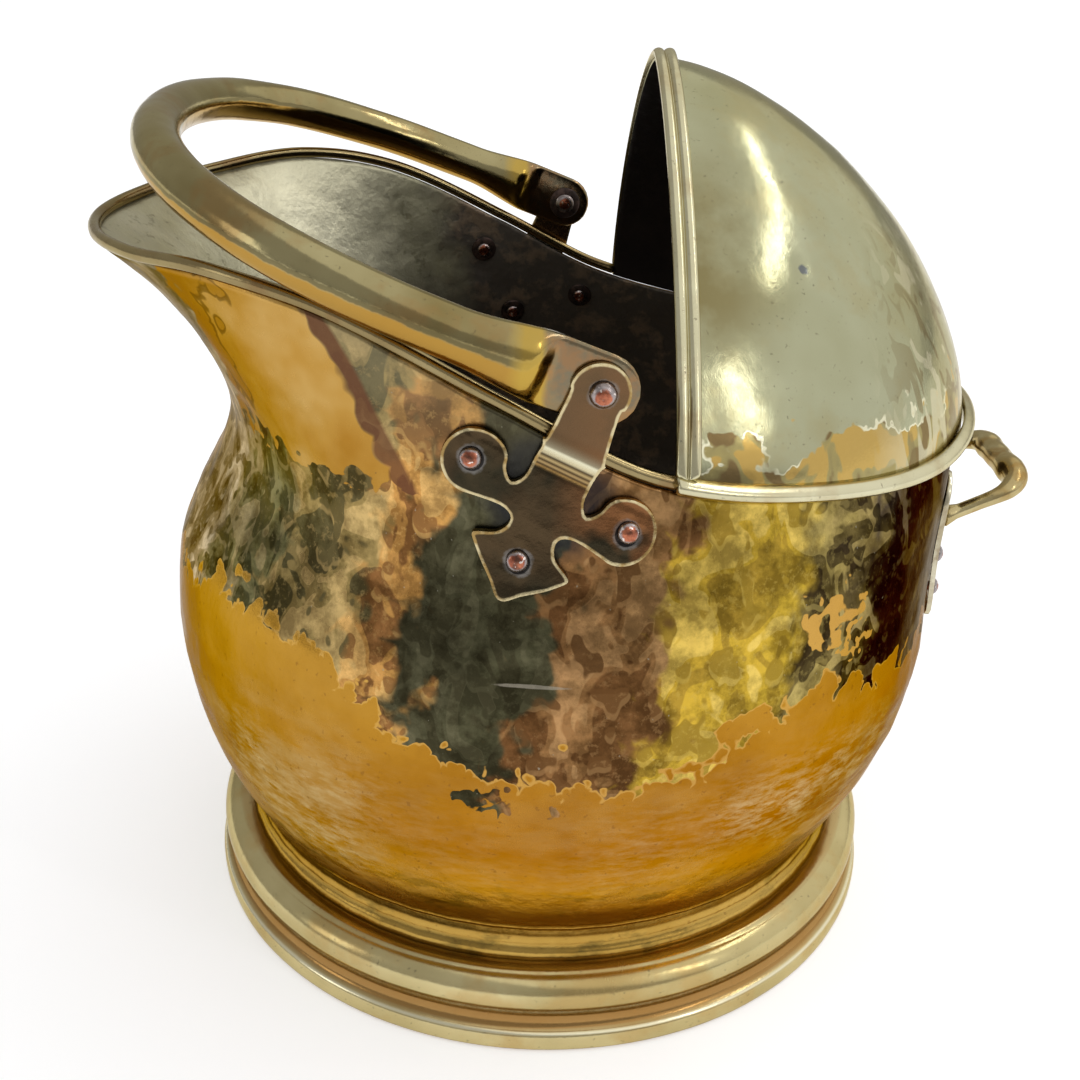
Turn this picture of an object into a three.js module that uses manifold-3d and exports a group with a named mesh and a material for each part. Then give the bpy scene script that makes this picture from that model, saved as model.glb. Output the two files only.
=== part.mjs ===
// Brass helmet coal scuttle, in millimetres, +Z up.
// The spout points to -X, the hood and the rear grip are towards +X, and the bail swings about
// an axis along Y. Every place below is measured from the centre of the round foot, on the
// floor. The last lines then move the whole scuttle so that the origin is under its middle.
import * as THREE from "three";
import { mergeVertices } from "three/addons/utils/BufferGeometryUtils.js";
import Module from "manifold-3d";

const wasm = await Module();
wasm.setup();

// ---------------------------------------------------------------- driving dimensions
const GAP = 0.3; // soldered or riveted pieces that touch on the real object
const PLATE_GAP = 0.5; // a bent plate against the round sheet
const HOLLOW_GAP = 0.6; // a flat washer against the hollow side of the curved sheet
const WALL = 1.5; // sheet brass of the body and the hood

const FOOT_HEIGHT = 34;
const FOOT_FACE_INNER_RADIUS = 139; // the flat ring that the scuttle stands on
const FOOT_BEAD_RADIUS = 6; // rolled bead at the floor
const FOOT_BEAD_REACH = 154; // outermost radius of that bead
const FOOT_TORUS_RADIUS = 9; // larger roll above it
const FOOT_TORUS_REACH = 152;
const FOOT_TORUS_HEIGHT = 24;
const FOOT_SHELF_RADIUS = 122; // inner edge of the shelf under the body
const FOOT_WALL = 2;

const BODY_SEAT_RADIUS = 139; // where the body stands on the foot
const THROAT_RADIUS = 136;
const THROAT_RISE = 9; // above the foot
const THROAT_LINE_RADIUS = 138.6; // fine raised line turned above the throat
const THROAT_LINE_RISE = 16;
const LOWER_BELLY_RADIUS = 156;
const LOWER_BELLY_HEIGHT = 84;
const BELLY_RADIUS = 165.5;
const BELLY_HEIGHT = 130;
const UPPER_BELLY_RADIUS = 162;
const REAR_UPPER_BELLY_RADIUS = 164.5;
const UPPER_BELLY_HEIGHT = 170;
const REAR_SHOULDER_RADIUS = 167;
const SIDE_SHOULDER_RADIUS = 151;
const SHOULDER_HEIGHT = 210;
const BELLY_SHIFT = 2.2; // the belly's middle lies this far behind the foot's
const SPOUT_NECK_RADIUS = 136.5; // pinch between the belly and the spout
const SPOUT_NECK_HEIGHT = 226;
const SPOUT_FLARE_RADIUS = 153;
const SPOUT_FLARE_HEIGHT = 269;
const SPOUT_START = 96; // degrees round from the rear where the neck starts
const SPOUT_FULL = 160; // and where it is deepest

// Rim of the body, seen from above: the angle from the rear in degrees, the distance from the
// rim's own centre and the height above the floor. The other side mirrors it.
const RIM_CENTRE_X = 16;
const RIM = [
  [0, 156.3, 223.5],
  [30, 149.5, 222],
  [60, 143, 229],
  [85, 142, 240.5],
  [105, 145.5, 265],
  [125, 159.5, 290.5],
  [140, 174, 299],
  [155, 187, 297],
  [168, 195, 294.5],
  [180, 199, 293.5],
];
const RIM_WIRE_DIAMETER = 4.8;

const HOOD_FRONT_X = 36;
const HOOD_RISE = 121.5; // from the rim at its front corners to its top
const HOOD_ARCH_FULLNESS = 1.42; // 2 is an ellipse, less is more pointed
const HOOD_CREST_FULLNESS = 1.64;
const BASE_BEAD_HEIGHT = 6.4;
const BASE_BEAD_DEPTH = 4.6;
const FRONT_BEAD_WIDTH = 8.5; // two rolls side by side
const FRONT_BEAD_HEIGHT = 2.6;

const PIVOT_X = 9.5;
const PIVOT_HEIGHT = 274.5;
const PIVOT_SHANK_DIAMETER = 5.4;
const PIVOT_HEAD_DIAMETER = 9;
const PIVOT_HEAD_HEIGHT = 3.4;
const WASHER_DIAMETER = 15;
const WASHER_THICKNESS = 1.2;

const BRACKET_LEAN = 25; // degrees from upright, towards the hood
const BRACKET_CENTRE_X = -6.2; // between its two side rivets
const BRACKET_CENTRE_HEIGHT = 238.6;
const BRACKET_THICKNESS = 2.2;
const BRACKET_ARM = 27; // side rivets from the middle
const BRACKET_LOBE_RADIUS = 11;
const BRACKET_DROP = 23.6; // bottom rivet below the middle
const BRACKET_TIP = 38; // pointed foot below the middle
const BRACKET_EAR_RADIUS = 9.8;
const BRACKET_EAR_SHIFT = -0.8; // middle of the ear from the pivot, towards the spout
const JOGGLE_START = 9; // the plate steps outwards over the rim here
const JOGGLE_END = 17;

const RIVET_HEAD_DIAMETER = 7.6;
const RIVET_HEAD_HEIGHT = 2.6;
const RIVET_SHANK_DIAMETER = 4;
const ROVE_DIAMETER = 12.4; // washer under the peened end inside the body
const ROVE_THICKNESS = 1.2;
const PEEN_DIAMETER = 6.6;
const PEEN_HEIGHT = 1.4;

const BAIL_TUBE_DIAMETER = 17.6;
const BAIL_REACH = 172; // pivot line to the middle of the far bar
const BAIL_REST_ANGLE = 20.8; // degrees above level, where it lies on the spout's rim
const BAIL_ARM_HANDLE = 114; // how far each arm runs before it turns in
const BAIL_ARM_BOW = 10; // how far the arms would spread by then
const BAIL_BAR_HANDLE = 97; // how far the far bar runs before it turns back
const BAIL_LUG_WIDTH = 28; // the tube's ends are hammered flat
const BAIL_LUG_END = 10; // past the pivot
const BAIL_LUG_THICKNESS = 3.8;
const BAIL_LUG_LENGTH = 18;
const BAIL_TAPER_END = 44;

const GRIP_HALF_SPAN = 30; // rear grip: its legs from the middle
const GRIP_SEAT_HEIGHT = 180.5;
const GRIP_REACH = 32; // out from the plates
const GRIP_RISE = 14.5;
const GRIP_LEG_DIAMETER = 6;
const GRIP_BAR_DIAMETER = 10.4;
const GRIP_CORNER_RADIUS = 9;
const GRIP_COLLAR = 1.6; // each leg widens where it is brazed to its plate
const GRIP_PLATE_WIDTH = 24;
const GRIP_PLATE_ABOVE = 20.5; // its top above the grip's seat
const GRIP_PLATE_BELOW = 46.5; // its bottom below the seat
const GRIP_PLATE_THICKNESS = 2.4;
const GRIP_RIVET_DROPS = [17.5, 33.5]; // below the seat

// ---------------------------------------------------------------- how finely curves are cut
const AROUND = 54; // faces round the body and the foot
const HOOD_AROUND = 24;
const HOOD_UP = 11;
const RIVET_SIDES = 10;
const DRILL_LENGTH = 24;
const PLATE_FACE = 14; // longest edge on a bent plate

// ---------------------------------------------------------------- finishes
const finish = (color, roughness, metalness = 1) =>
  new THREE.MeshStandardMaterial({ color, roughness, metalness });
const hammeredBrass = finish(0xb98428, 0.28);
const smoothBrass = finish(0xa8a070, 0.22);
const castBrass = finish(0x9a8a52, 0.32);
const plateBrass = finish(0x6f6138, 0.38);
const copper = finish(0xa8674c, 0.35);
const sheetBrass = finish(0x8a6a30, 0.5);

// ---------------------------------------------------------------- small helpers
const rad = THREE.MathUtils.degToRad;
const smooth = (x, from, to) => THREE.MathUtils.smoothstep(x, from, to);
const vec = (x, y, z) => new THREE.Vector3(x, y, z);
const UP = vec(0, 0, 1);

function toSolid(geometry) {
  const bare = geometry.clone();
  bare.deleteAttribute("normal");
  bare.deleteAttribute("uv");
  const merged = mergeVertices(bare, 1e-4);
  return new wasm.Manifold(
    new wasm.Mesh({
      numProp: 3,
      vertProperties: new Float32Array(merged.attributes.position.array),
      triVerts: new Uint32Array(merged.index.array),
    }),
  );
}

function toGeometry(solid) {
  const mesh = solid.getMesh();
  const geometry = new THREE.BufferGeometry();
  geometry.setAttribute("position", new THREE.BufferAttribute(mesh.vertProperties, 3));
  geometry.setIndex(new THREE.BufferAttribute(mesh.triVerts, 1));
  geometry.computeVertexNormals();
  return geometry;
}

// A solid from a row of closed rings of equal length, with a flat cap at each end.
function skin(rings) {
  const size = rings[0].length;
  const points = rings.flat();
  const faces = [];
  for (let i = 0; i + 1 < rings.length; i++) {
    for (let j = 0; j < size; j++) {
      const a = i * size + j;
      const b = i * size + ((j + 1) % size);
      faces.push(a, b, b + size, a, b + size, a + size);
    }
  }
  for (const [index, turned] of [
    [0, true],
    [rings.length - 1, false],
  ]) {
    const centre = rings[index].reduce((sum, p) => sum.add(p), vec(0, 0, 0)).divideScalar(size);
    points.push(centre);
    for (let j = 0; j < size; j++) {
      const a = index * size + j;
      const b = index * size + ((j + 1) % size);
      faces.push(...(turned ? [b, a, points.length - 1] : [a, b, points.length - 1]));
    }
  }
  return facesOut(points, faces);
}

// A thin wall between an outer and an inner sheet of points that share one grid.
// wrapped: the columns close on themselves. Otherwise the sheet has four free edges.
function wall(outer, inner, wrapped) {
  const rows = outer.length;
  const columns = outer[0].length;
  const shift = rows * columns;
  const points = [...outer.flat(), ...inner.flat()];
  const at = (i, j) => i * columns + (j % columns);
  const faces = [];
  const quad = (a, b, c, d) => faces.push(a, b, c, a, c, d);
  const across = wrapped ? columns : columns - 1;
  for (let i = 0; i + 1 < rows; i++) {
    for (let j = 0; j < across; j++) {
      const corners = [at(i, j), at(i, j + 1), at(i + 1, j + 1), at(i + 1, j)];
      quad(...corners);
      quad(...corners.map((c) => c + shift).reverse());
    }
  }
  for (let j = 0; j < across; j++) {
    quad(at(0, j + 1), at(0, j), at(0, j) + shift, at(0, j + 1) + shift);
    const last = rows - 1;
    quad(at(last, j), at(last, j + 1), at(last, j + 1) + shift, at(last, j) + shift);
  }
  for (let i = 0; i + 1 < rows && !wrapped; i++) {
    quad(at(i, 0), at(i + 1, 0), at(i + 1, 0) + shift, at(i, 0) + shift);
    const last = columns - 1;
    quad(at(i + 1, last), at(i, last), at(i, last) + shift, at(i + 1, last) + shift);
  }
  return facesOut(points, faces);
}

// Drops faces that shrink to nothing at a pole, and turns the solid right side out.
function facesOut(points, faces) {
  const geometry = new THREE.BufferGeometry().setFromPoints(points);
  geometry.setIndex(faces);
  const merged = mergeVertices(geometry, 1e-4);
  const kept = [];
  const index = merged.index.array;
  for (let i = 0; i < index.length; i += 3) {
    const [a, b, c] = [index[i], index[i + 1], index[i + 2]];
    if (a !== b && b !== c && c !== a) kept.push(a, b, c);
  }
  const p = merged.attributes.position;
  const corner = (i) => vec(p.getX(i), p.getY(i), p.getZ(i));
  let volume = 0;
  for (let i = 0; i < kept.length; i += 3) {
    volume += corner(kept[i]).dot(corner(kept[i + 1]).cross(corner(kept[i + 2])));
  }
  if (volume < 0) {
    for (let i = 0; i < kept.length; i += 3) {
      [kept[i + 1], kept[i + 2]] = [kept[i + 2], kept[i + 1]];
    }
  }
  merged.setIndex(kept);
  merged.computeVertexNormals();
  return merged;
}

// A turned piece about +Z from [radius, height] points, closed on the axis or on itself.
const turned = (outline, sides) =>
  facesOutOf(
    new THREE.LatheGeometry(
      outline.map(([r, z]) => new THREE.Vector2(r, z)),
      sides,
    ).rotateX(Math.PI / 2),
  );

function facesOutOf(geometry) {
  const bare = geometry.clone();
  bare.deleteAttribute("normal");
  bare.deleteAttribute("uv");
  const merged = mergeVertices(bare, 1e-4);
  const p = merged.attributes.position;
  const points = Array.from({ length: p.count }, (_, i) => vec(p.getX(i), p.getY(i), p.getZ(i)));
  return facesOut(points, Array.from(merged.index.array));
}

// Cuts every edge longer than a limit in two, on both faces that share it, until none is left,
// so that a flat plate can be bent.
function splitLongEdges(geometry, limit) {
  const p = geometry.attributes.position;
  const points = Array.from({ length: p.count }, (_, i) => vec(p.getX(i), p.getY(i), p.getZ(i)));
  let faces = Array.from(geometry.index.array);
  for (let again = true; again; ) {
    again = false;
    const middles = new Map();
    const middle = (a, b) => {
      if (points[a].distanceTo(points[b]) <= limit) return -1;
      const key = a < b ? `${a} ${b}` : `${b} ${a}`;
      if (!middles.has(key)) middles.set(key, points.push(points[a].clone().lerp(points[b], 0.5)) - 1);
      return middles.get(key);
    };
    const next = [];
    for (let i = 0; i < faces.length; i += 3) {
      const corners = [faces[i], faces[i + 1], faces[i + 2]];
      const cuts = corners.map((c, k) => middle(c, corners[(k + 1) % 3]));
      const count = cuts.filter((m) => m >= 0).length;
      if (count) again = true;
      // Turns the face so that its uncut edge comes last, or its only cut edge comes first.
      const turn = count === 1 ? cuts.findIndex((m) => m >= 0) : (cuts.findIndex((m) => m < 0) + 1) % 3;
      const [a, b, c] = [0, 1, 2].map((k) => corners[(k + turn) % 3]);
      const [ab, bc, ca] = [0, 1, 2].map((k) => cuts[(k + turn) % 3]);
      if (count === 0) next.push(a, b, c);
      else if (count === 1) next.push(a, ab, c, ab, b, c);
      else if (count === 2) next.push(ab, b, bc, a, ab, bc, a, bc, c);
      else next.push(a, ab, ca, ab, b, bc, ca, bc, c, ab, bc, ca);
    }
    faces = next;
  }
  return facesOut(points, faces);
}

// Points of an arc in a section, as [radius, height] pairs.
function arc(centreR, centreZ, radius, from, to, steps) {
  return Array.from({ length: steps + 1 }, (_, i) => {
    const a = rad(from + ((to - from) * i) / steps);
    return [centreR + radius * Math.cos(a), centreZ + radius * Math.sin(a)];
  });
}

// A smooth value through [place, value] stations, level at both ends.
function smoothValue(stations, place) {
  const n = stations.length;
  if (place <= stations[0][0]) return stations[0][1];
  if (place >= stations[n - 1][0]) return stations[n - 1][1];
  const i = stations.findIndex((s, k) => k + 1 < n && place < stations[k + 1][0]);
  const slope = (k) =>
    k <= 0 || k >= n - 1
      ? 0
      : (stations[k + 1][1] - stations[k - 1][1]) / (stations[k + 1][0] - stations[k - 1][0]);
  const [[x0, y0], [x1, y1]] = [stations[i], stations[i + 1]];
  const h = x1 - x0;
  const t = (place - x0) / h;
  const t2 = t * t;
  const t3 = t2 * t;
  return (
    y0 * (2 * t3 - 3 * t2 + 1) +
    slope(i) * h * (t3 - 2 * t2 + t) +
    y1 * (3 * t2 - 2 * t3) +
    slope(i + 1) * h * (t3 - t2)
  );
}

// ---------------------------------------------------------------- the body's surface
// degrees: 0 at the rear, 180 at the spout's tip, and on round through 360.
const fold = (degrees) => Math.abs(((degrees + 180) % 360) - 180);
const RIM_RADII = RIM.map(([angle, radius]) => [angle, radius]);
const RIM_HEIGHTS = RIM.map(([angle, , height]) => [angle, height]);

function rimPoint(degrees) {
  const folded = fold(degrees);
  const radius = smoothValue(RIM_RADII, folded);
  const a = rad(degrees);
  return vec(
    RIM_CENTRE_X + radius * Math.cos(a),
    radius * Math.sin(a),
    smoothValue(RIM_HEIGHTS, folded),
  );
}

// The wall's line from the foot up to the rim, at one angle.
function bodyLine(degrees) {
  const folded = fold(degrees);
  const a = rad(degrees);
  const spout = smooth(folded, SPOUT_START, SPOUT_FULL);
  const side = smooth(folded, 0, 90);
  const shoulder = THREE.MathUtils.lerp(REAR_SHOULDER_RADIUS, SIDE_SHOULDER_RADIUS, side);
  const neckRadius = THREE.MathUtils.lerp(shoulder, SPOUT_NECK_RADIUS, spout);
  const neckHeight = THREE.MathUtils.lerp(SHOULDER_HEIGHT, SPOUT_NECK_HEIGHT, spout);
  const rim = rimPoint(degrees);
  const onAxis = (radius, height) => vec(BELLY_SHIFT + radius * Math.cos(a), radius * Math.sin(a), height);
  const neck = onAxis(neckRadius, neckHeight);
  const flare = onAxis(SPOUT_FLARE_RADIUS, SPOUT_FLARE_HEIGHT);
  const between = neck.clone().lerp(rim, 0.5);
  return new THREE.CatmullRomCurve3(
    [
      onAxis(BELLY_RADIUS, BELLY_HEIGHT),
      onAxis(THREE.MathUtils.lerp(REAR_UPPER_BELLY_RADIUS, UPPER_BELLY_RADIUS, side), UPPER_BELLY_HEIGHT),
      neck,
      between.lerp(flare, spout),
      rim,
    ],
    false,
    "centripetal",
  );
}

const LOWER_LINE = [
  [FOOT_HEIGHT + GAP, BODY_SEAT_RADIUS],
  [FOOT_HEIGHT + THROAT_RISE, THROAT_RADIUS],
  [FOOT_HEIGHT + THROAT_LINE_RISE - 2, THROAT_RADIUS + 0.6],
  [FOOT_HEIGHT + THROAT_LINE_RISE, THROAT_LINE_RADIUS],
  [FOOT_HEIGHT + THROAT_LINE_RISE + 4, THROAT_LINE_RADIUS + 2.2],
  [LOWER_BELLY_HEIGHT, LOWER_BELLY_RADIUS],
  [BELLY_HEIGHT, BELLY_RADIUS],
];
const LOWER_HEIGHTS = [
  ...LOWER_LINE.slice(0, 5).map(([height]) => height),
  THREE.MathUtils.lerp(FOOT_HEIGHT + THROAT_LINE_RISE + 4, LOWER_BELLY_HEIGHT, 0.5),
  LOWER_BELLY_HEIGHT,
  THREE.MathUtils.lerp(LOWER_BELLY_HEIGHT, BELLY_HEIGHT, 0.5),
];
const UPPER_STEPS = 12;

function bodyRows() {
  const angles = Array.from({ length: AROUND }, (_, j) => (360 * j) / AROUND);
  const rows = LOWER_HEIGHTS.map((height) => {
    const radius = smoothValue(LOWER_LINE, height);
    const shift = BELLY_SHIFT * smooth(height, FOOT_HEIGHT + THROAT_LINE_RISE, BELLY_HEIGHT);
    return angles.map((d) => vec(shift + radius * Math.cos(rad(d)), radius * Math.sin(rad(d)), height));
  });
  const lines = angles.map((d) => bodyLine(d));
  for (let i = 0; i <= UPPER_STEPS; i++) {
    rows.push(lines.map((line) => line.getPoint(i / UPPER_STEPS)));
  }
  return rows;
}

// Moves each point of a wrapped grid inwards, square to the sheet.
function inset(rows, depth) {
  const columns = rows[0].length;
  return rows.map((row, i) =>
    row.map((p, j) => {
      const along = rows[Math.min(i + 1, rows.length - 1)][j]
        .clone()
        .sub(rows[Math.max(i - 1, 0)][j]);
      const across = row[(j + 1) % columns].clone().sub(row[(j + columns - 1) % columns]);
      const outward = across.cross(along).normalize();
      if (i === 0 || i === rows.length - 1) outward.setZ(0).normalize();
      return p.clone().addScaledVector(outward, -depth);
    }),
  );
}

const outerBody = bodyRows();
const plainBody = wall(outerBody, inset(outerBody, WALL), true);
const probe = new THREE.Mesh(plainBody, new THREE.MeshBasicMaterial({ side: THREE.DoubleSide }));

// Where a line towards the scuttle first meets the outside of the body, and the way out there.
function onBody(from, towards) {
  const hit = new THREE.Raycaster(from, towards).intersectObject(probe)[0];
  const normal = hit.face.normal.clone();
  if (normal.dot(towards) > 0) normal.negate();
  return { point: hit.point, normal };
}
const FAR = 1000;
const sideOfBody = (x, height, side) => onBody(vec(x, side * FAR, height), vec(0, -side, 0));
const rearOfBody = (y, height) => onBody(vec(FAR, y, height), vec(-1, 0, 0));
// How far out the inner face of a bent plate lies, there and behind.
function plateInnerY(x, height) {
  const { point, normal } = sideOfBody(x, height, 1);
  return point.y + PLATE_GAP / Math.max(normal.y, 0.5);
}
function plateInnerX(y, height) {
  const { point, normal } = rearOfBody(y, height);
  return point.x + PLATE_GAP / Math.max(normal.x, 0.5);
}

// ---------------------------------------------------------------- side brackets
const leanSin = Math.sin(rad(BRACKET_LEAN));
const leanCos = Math.cos(rad(BRACKET_LEAN));
// From the bracket's own across and up to the scuttle's x and height.
const bracketX = (across, up) => BRACKET_CENTRE_X + across * leanCos + up * leanSin;
const bracketHeight = (across, up) => BRACKET_CENTRE_HEIGHT - across * leanSin + up * leanCos;
const pivotAcross = (PIVOT_X - BRACKET_CENTRE_X) * leanCos - (PIVOT_HEIGHT - BRACKET_CENTRE_HEIGHT) * leanSin;
const pivotUp = (PIVOT_X - BRACKET_CENTRE_X) * leanSin + (PIVOT_HEIGHT - BRACKET_CENTRE_HEIGHT) * leanCos;

const rimSide = rimPoint(90);
const EAR_INNER_Y = rimSide.y + RIM_WIRE_DIAMETER / 2 + 2 * GAP;

// Distance from the middle plane of the bracket's inner face.
function bracketInnerY(across, up) {
  const low = Math.min(up, JOGGLE_START);
  const onSheet = plateInnerY(bracketX(across, low), bracketHeight(across, low));
  return THREE.MathUtils.lerp(onSheet, EAR_INNER_Y, smooth(up, JOGGLE_START, JOGGLE_END));
}

// The trefoil's outline: the round ear, down one side to the pointed foot, and up the other.
function bracketOutline() {
  const shape = new THREE.Shape();
  const half = [
    [10.4, JOGGLE_END + 1],
    [10.4, JOGGLE_START],
    [10.6, 3.2],
    [13.6, -0.4],
    [17, 2.6],
    ...arc(BRACKET_ARM, 0, BRACKET_LOBE_RADIUS, 152, -122, 10),
    [13.8, -9.2],
    [9.2, -10.4],
    [8.4, -13.6],
    [10.4, -17.6],
    [17.6, -22],
    [11.5, -28.5],
  ];
  const mirrored = half.map(([across, up]) => [-across, up]).reverse();
  const earAcross = pivotAcross + BRACKET_EAR_SHIFT;
  const ear = arc(earAcross, pivotUp, BRACKET_EAR_RADIUS, 216, -36, 12);
  const outline = [...ear, ...half, [0, -BRACKET_TIP], ...mirrored];
  shape.setFromPoints(outline.map(([across, up]) => new THREE.Vector2(across, up)));
  return shape;
}

function bracket(side) {
  const flat = new THREE.ExtrudeGeometry(bracketOutline(), {
    depth: BRACKET_THICKNESS,
    bevelEnabled: false,
    steps: 1,
  });
  const merged = splitLongEdges(facesOutOf(flat), PLATE_FACE);
  const p = merged.attributes.position;
  for (let i = 0; i < p.count; i++) {
    const [across, up, deep] = [p.getX(i), p.getY(i), p.getZ(i)];
    const y = bracketInnerY(across, up) + deep;
    p.setXYZ(i, bracketX(across, up), side * y, bracketHeight(across, up));
  }
  return facesOutOf(merged);
}

// ---------------------------------------------------------------- rivets and their holes
// A piece turned about +Z, set at a point with +Z along a direction.
function place(geometry, point, direction) {
  const turn = new THREE.Quaternion().setFromUnitVectors(UP, direction);
  const at = new THREE.Matrix4().compose(point, turn, vec(1, 1, 1));
  return geometry.clone().applyMatrix4(at);
}

// A round-headed rivet: z = 0 is the face that its head sits on, and its shank runs down.
function rivet(headDiameter, headHeight, shankDiameter, grip, endDiameter, endHeight) {
  const dome = Array.from({ length: 4 }, (_, i) => {
    const a = (Math.PI / 2) * (i / 3);
    return [(headDiameter / 2) * Math.cos(a), GAP + headHeight * Math.sin(a)];
  });
  return turned(
    [
      [0, -grip - endHeight - GAP],
      [endDiameter * 0.36, -grip - endHeight - GAP],
      [endDiameter / 2, -grip - endHeight * 0.4 - GAP],
      [endDiameter / 2, -grip - GAP],
      [shankDiameter / 2, -grip - GAP],
      [shankDiameter / 2, GAP],
      ...dome,
    ],
    RIVET_SIDES,
  );
}

function drill(diameter, point, direction) {
  const rod = new THREE.CylinderGeometry(diameter / 2, diameter / 2, DRILL_LENGTH, RIVET_SIDES);
  return toSolid(place(rod.rotateX(Math.PI / 2), point, direction));
}

const ring = (innerDiameter, outerDiameter, thickness) =>
  turned(
    [
      [innerDiameter / 2, 0],
      [outerDiameter / 2, 0],
      [outerDiameter / 2, -thickness],
      [innerDiameter / 2, -thickness],
      [innerDiameter / 2, 0],
    ],
    RIVET_SIDES,
  );

const HOLE = RIVET_SHANK_DIAMETER + 2 * GAP;
const cut = (geometry, drills) =>
  toGeometry(drills.reduce((solid, tool) => solid.subtract(tool), toSolid(geometry)));

// ---------------------------------------------------------------- assembly
const scuttle = new THREE.Group();
scuttle.name = "coal_scuttle";
function add(name, geometry, material) {
  const mesh = new THREE.Mesh(geometry, material);
  mesh.name = name;
  scuttle.add(mesh);
  return mesh;
}

// A rivet through one plate and the body, with its rove inside. seat is the plate's outer face.
const bodyDrills = [];
function addRivet(name, seat, normal, plateThickness) {
  const roveDepth = plateThickness + PLATE_GAP + WALL + HOLLOW_GAP;
  const grip = roveDepth + ROVE_THICKNESS;
  add(
    name,
    place(
      rivet(RIVET_HEAD_DIAMETER, RIVET_HEAD_HEIGHT, RIVET_SHANK_DIAMETER, grip, PEEN_DIAMETER, PEEN_HEIGHT),
      seat,
      normal,
    ),
    copper,
  );
  const roveAt = seat.clone().addScaledVector(normal, -roveDepth);
  const rove = place(ring(HOLE, ROVE_DIAMETER, ROVE_THICKNESS), roveAt, normal);
  add(name.replace("rivet", "rove"), rove, copper);
  const tool = drill(HOLE, seat, normal);
  bodyDrills.push(tool);
  return tool;
}

// Brackets, each with three rivets and a hole for the bail's pivot.
const RIVET_PLACES = [
  ["front", -BRACKET_ARM - 1.2, 0.5],
  ["rear", BRACKET_ARM + 1.2, 0],
  ["lower", 0, -BRACKET_DROP],
];
for (const [sideName, side] of [
  ["near", -1],
  ["far", 1],
]) {
  const drills = RIVET_PLACES.map(([spot, across, up]) => {
    const { point, normal } = sideOfBody(bracketX(across, up), bracketHeight(across, up), side);
    const seat = point.clone().addScaledVector(normal, PLATE_GAP + BRACKET_THICKNESS);
    return addRivet(`bracket_rivet_${sideName}_${spot}`, seat, normal, BRACKET_THICKNESS);
  });
  const pivotPoint = vec(PIVOT_X, side * EAR_INNER_Y, PIVOT_HEIGHT);
  drills.push(drill(PIVOT_SHANK_DIAMETER + 2 * GAP, pivotPoint, vec(0, side, 0)));
  add(`bracket_${sideName}`, cut(bracket(side), drills), plateBrass);
}

// Bail: a bent tube with its ends hammered flat between the ears.
const lugOuterY = EAR_INNER_Y - 1.5 * GAP;
const lugMiddleY = lugOuterY - BAIL_LUG_THICKNESS / 2;
const bailCos = Math.cos(rad(BAIL_REST_ANGLE));
const bailSin = Math.sin(rad(BAIL_REST_ANGLE));
const bailTop = vec(bailSin, 0, bailCos);

function bailCurve() {
  const at = (reach, y) => vec(PIVOT_X - reach * bailCos, y, PIVOT_HEIGHT + reach * bailSin);
  const half = (side) => [
    at(BAIL_ARM_HANDLE, side * (lugMiddleY + BAIL_ARM_BOW)),
    at(BAIL_REACH, side * BAIL_BAR_HANDLE),
  ];
  const near = half(-1);
  const far = half(1);
  const path = new THREE.CurvePath();
  const [nearLug, farLug] = [at(BAIL_LUG_LENGTH, -lugMiddleY), at(BAIL_LUG_LENGTH, lugMiddleY)];
  path.add(new THREE.LineCurve3(at(0, -lugMiddleY), nearLug));
  path.add(new THREE.CubicBezierCurve3(nearLug, near[0], near[1], at(BAIL_REACH, 0)));
  path.add(new THREE.CubicBezierCurve3(at(BAIL_REACH, 0), far[1], far[0], farLug));
  path.add(new THREE.LineCurve3(farLug, at(0, lugMiddleY)));
  return path;
}

function bail() {
  const path = bailCurve();
  const length = path.getLength();
  const distances = [];
  for (const d of [-0.98, -0.8, -0.5, 0]) distances.push(d * BAIL_LUG_END);
  distances.push(BAIL_LUG_LENGTH * 0.6, BAIL_LUG_LENGTH);
  for (let d = BAIL_LUG_LENGTH + 6; d < BAIL_TAPER_END; d += 6) distances.push(d);
  const plain = 36;
  for (let i = 0; i <= plain; i++) {
    distances.push(BAIL_TAPER_END + ((length - 2 * BAIL_TAPER_END) * i) / plain);
  }
  const first = distances.filter((d) => d < BAIL_TAPER_END).map((d) => length - d);
  distances.push(...first.reverse());
  const radius = BAIL_TUBE_DIAMETER / 2;
  const sides = 12;
  return skin(
    distances.map((d) => {
      const inside = THREE.MathUtils.clamp(d, 0, length);
      const u = inside / length;
      const centre = path.getPointAt(u);
      const tangent = path.getTangentAt(u);
      if (inside !== d) centre.addScaledVector(tangent, d - inside);
      const fromEnd = Math.min(d, length - d);
      const round = smooth(fromEnd, BAIL_LUG_LENGTH, BAIL_TAPER_END);
      const past = Math.max(-fromEnd, 0) / BAIL_LUG_END;
      const lugHalf = (BAIL_LUG_WIDTH / 2) * Math.sqrt(1 - past ** 2);
      const tall = THREE.MathUtils.lerp(lugHalf, radius, round);
      const thick = THREE.MathUtils.lerp(BAIL_LUG_THICKNESS / 2, radius, round);
      const squareness = THREE.MathUtils.lerp(0.35, 1, round);
      const across = tangent.clone().cross(bailTop).normalize();
      return Array.from({ length: sides }, (_, k) => {
        const a = (2 * Math.PI * (k + 0.5)) / sides;
        const c = Math.cos(a);
        const s = Math.sin(a);
        const wide = Math.sign(c) * Math.abs(c) ** squareness * thick;
        return centre
          .clone()
          .addScaledVector(across, wide)
          .addScaledVector(bailTop, s * tall);
      });
    }),
  );
}
const bailDrills = [-1, 1].map((side) =>
  drill(PIVOT_SHANK_DIAMETER + 2 * GAP, vec(PIVOT_X, side * lugMiddleY, PIVOT_HEIGHT), vec(0, side, 0)),
);
add("bail", cut(bail(), bailDrills), smoothBrass);

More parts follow.
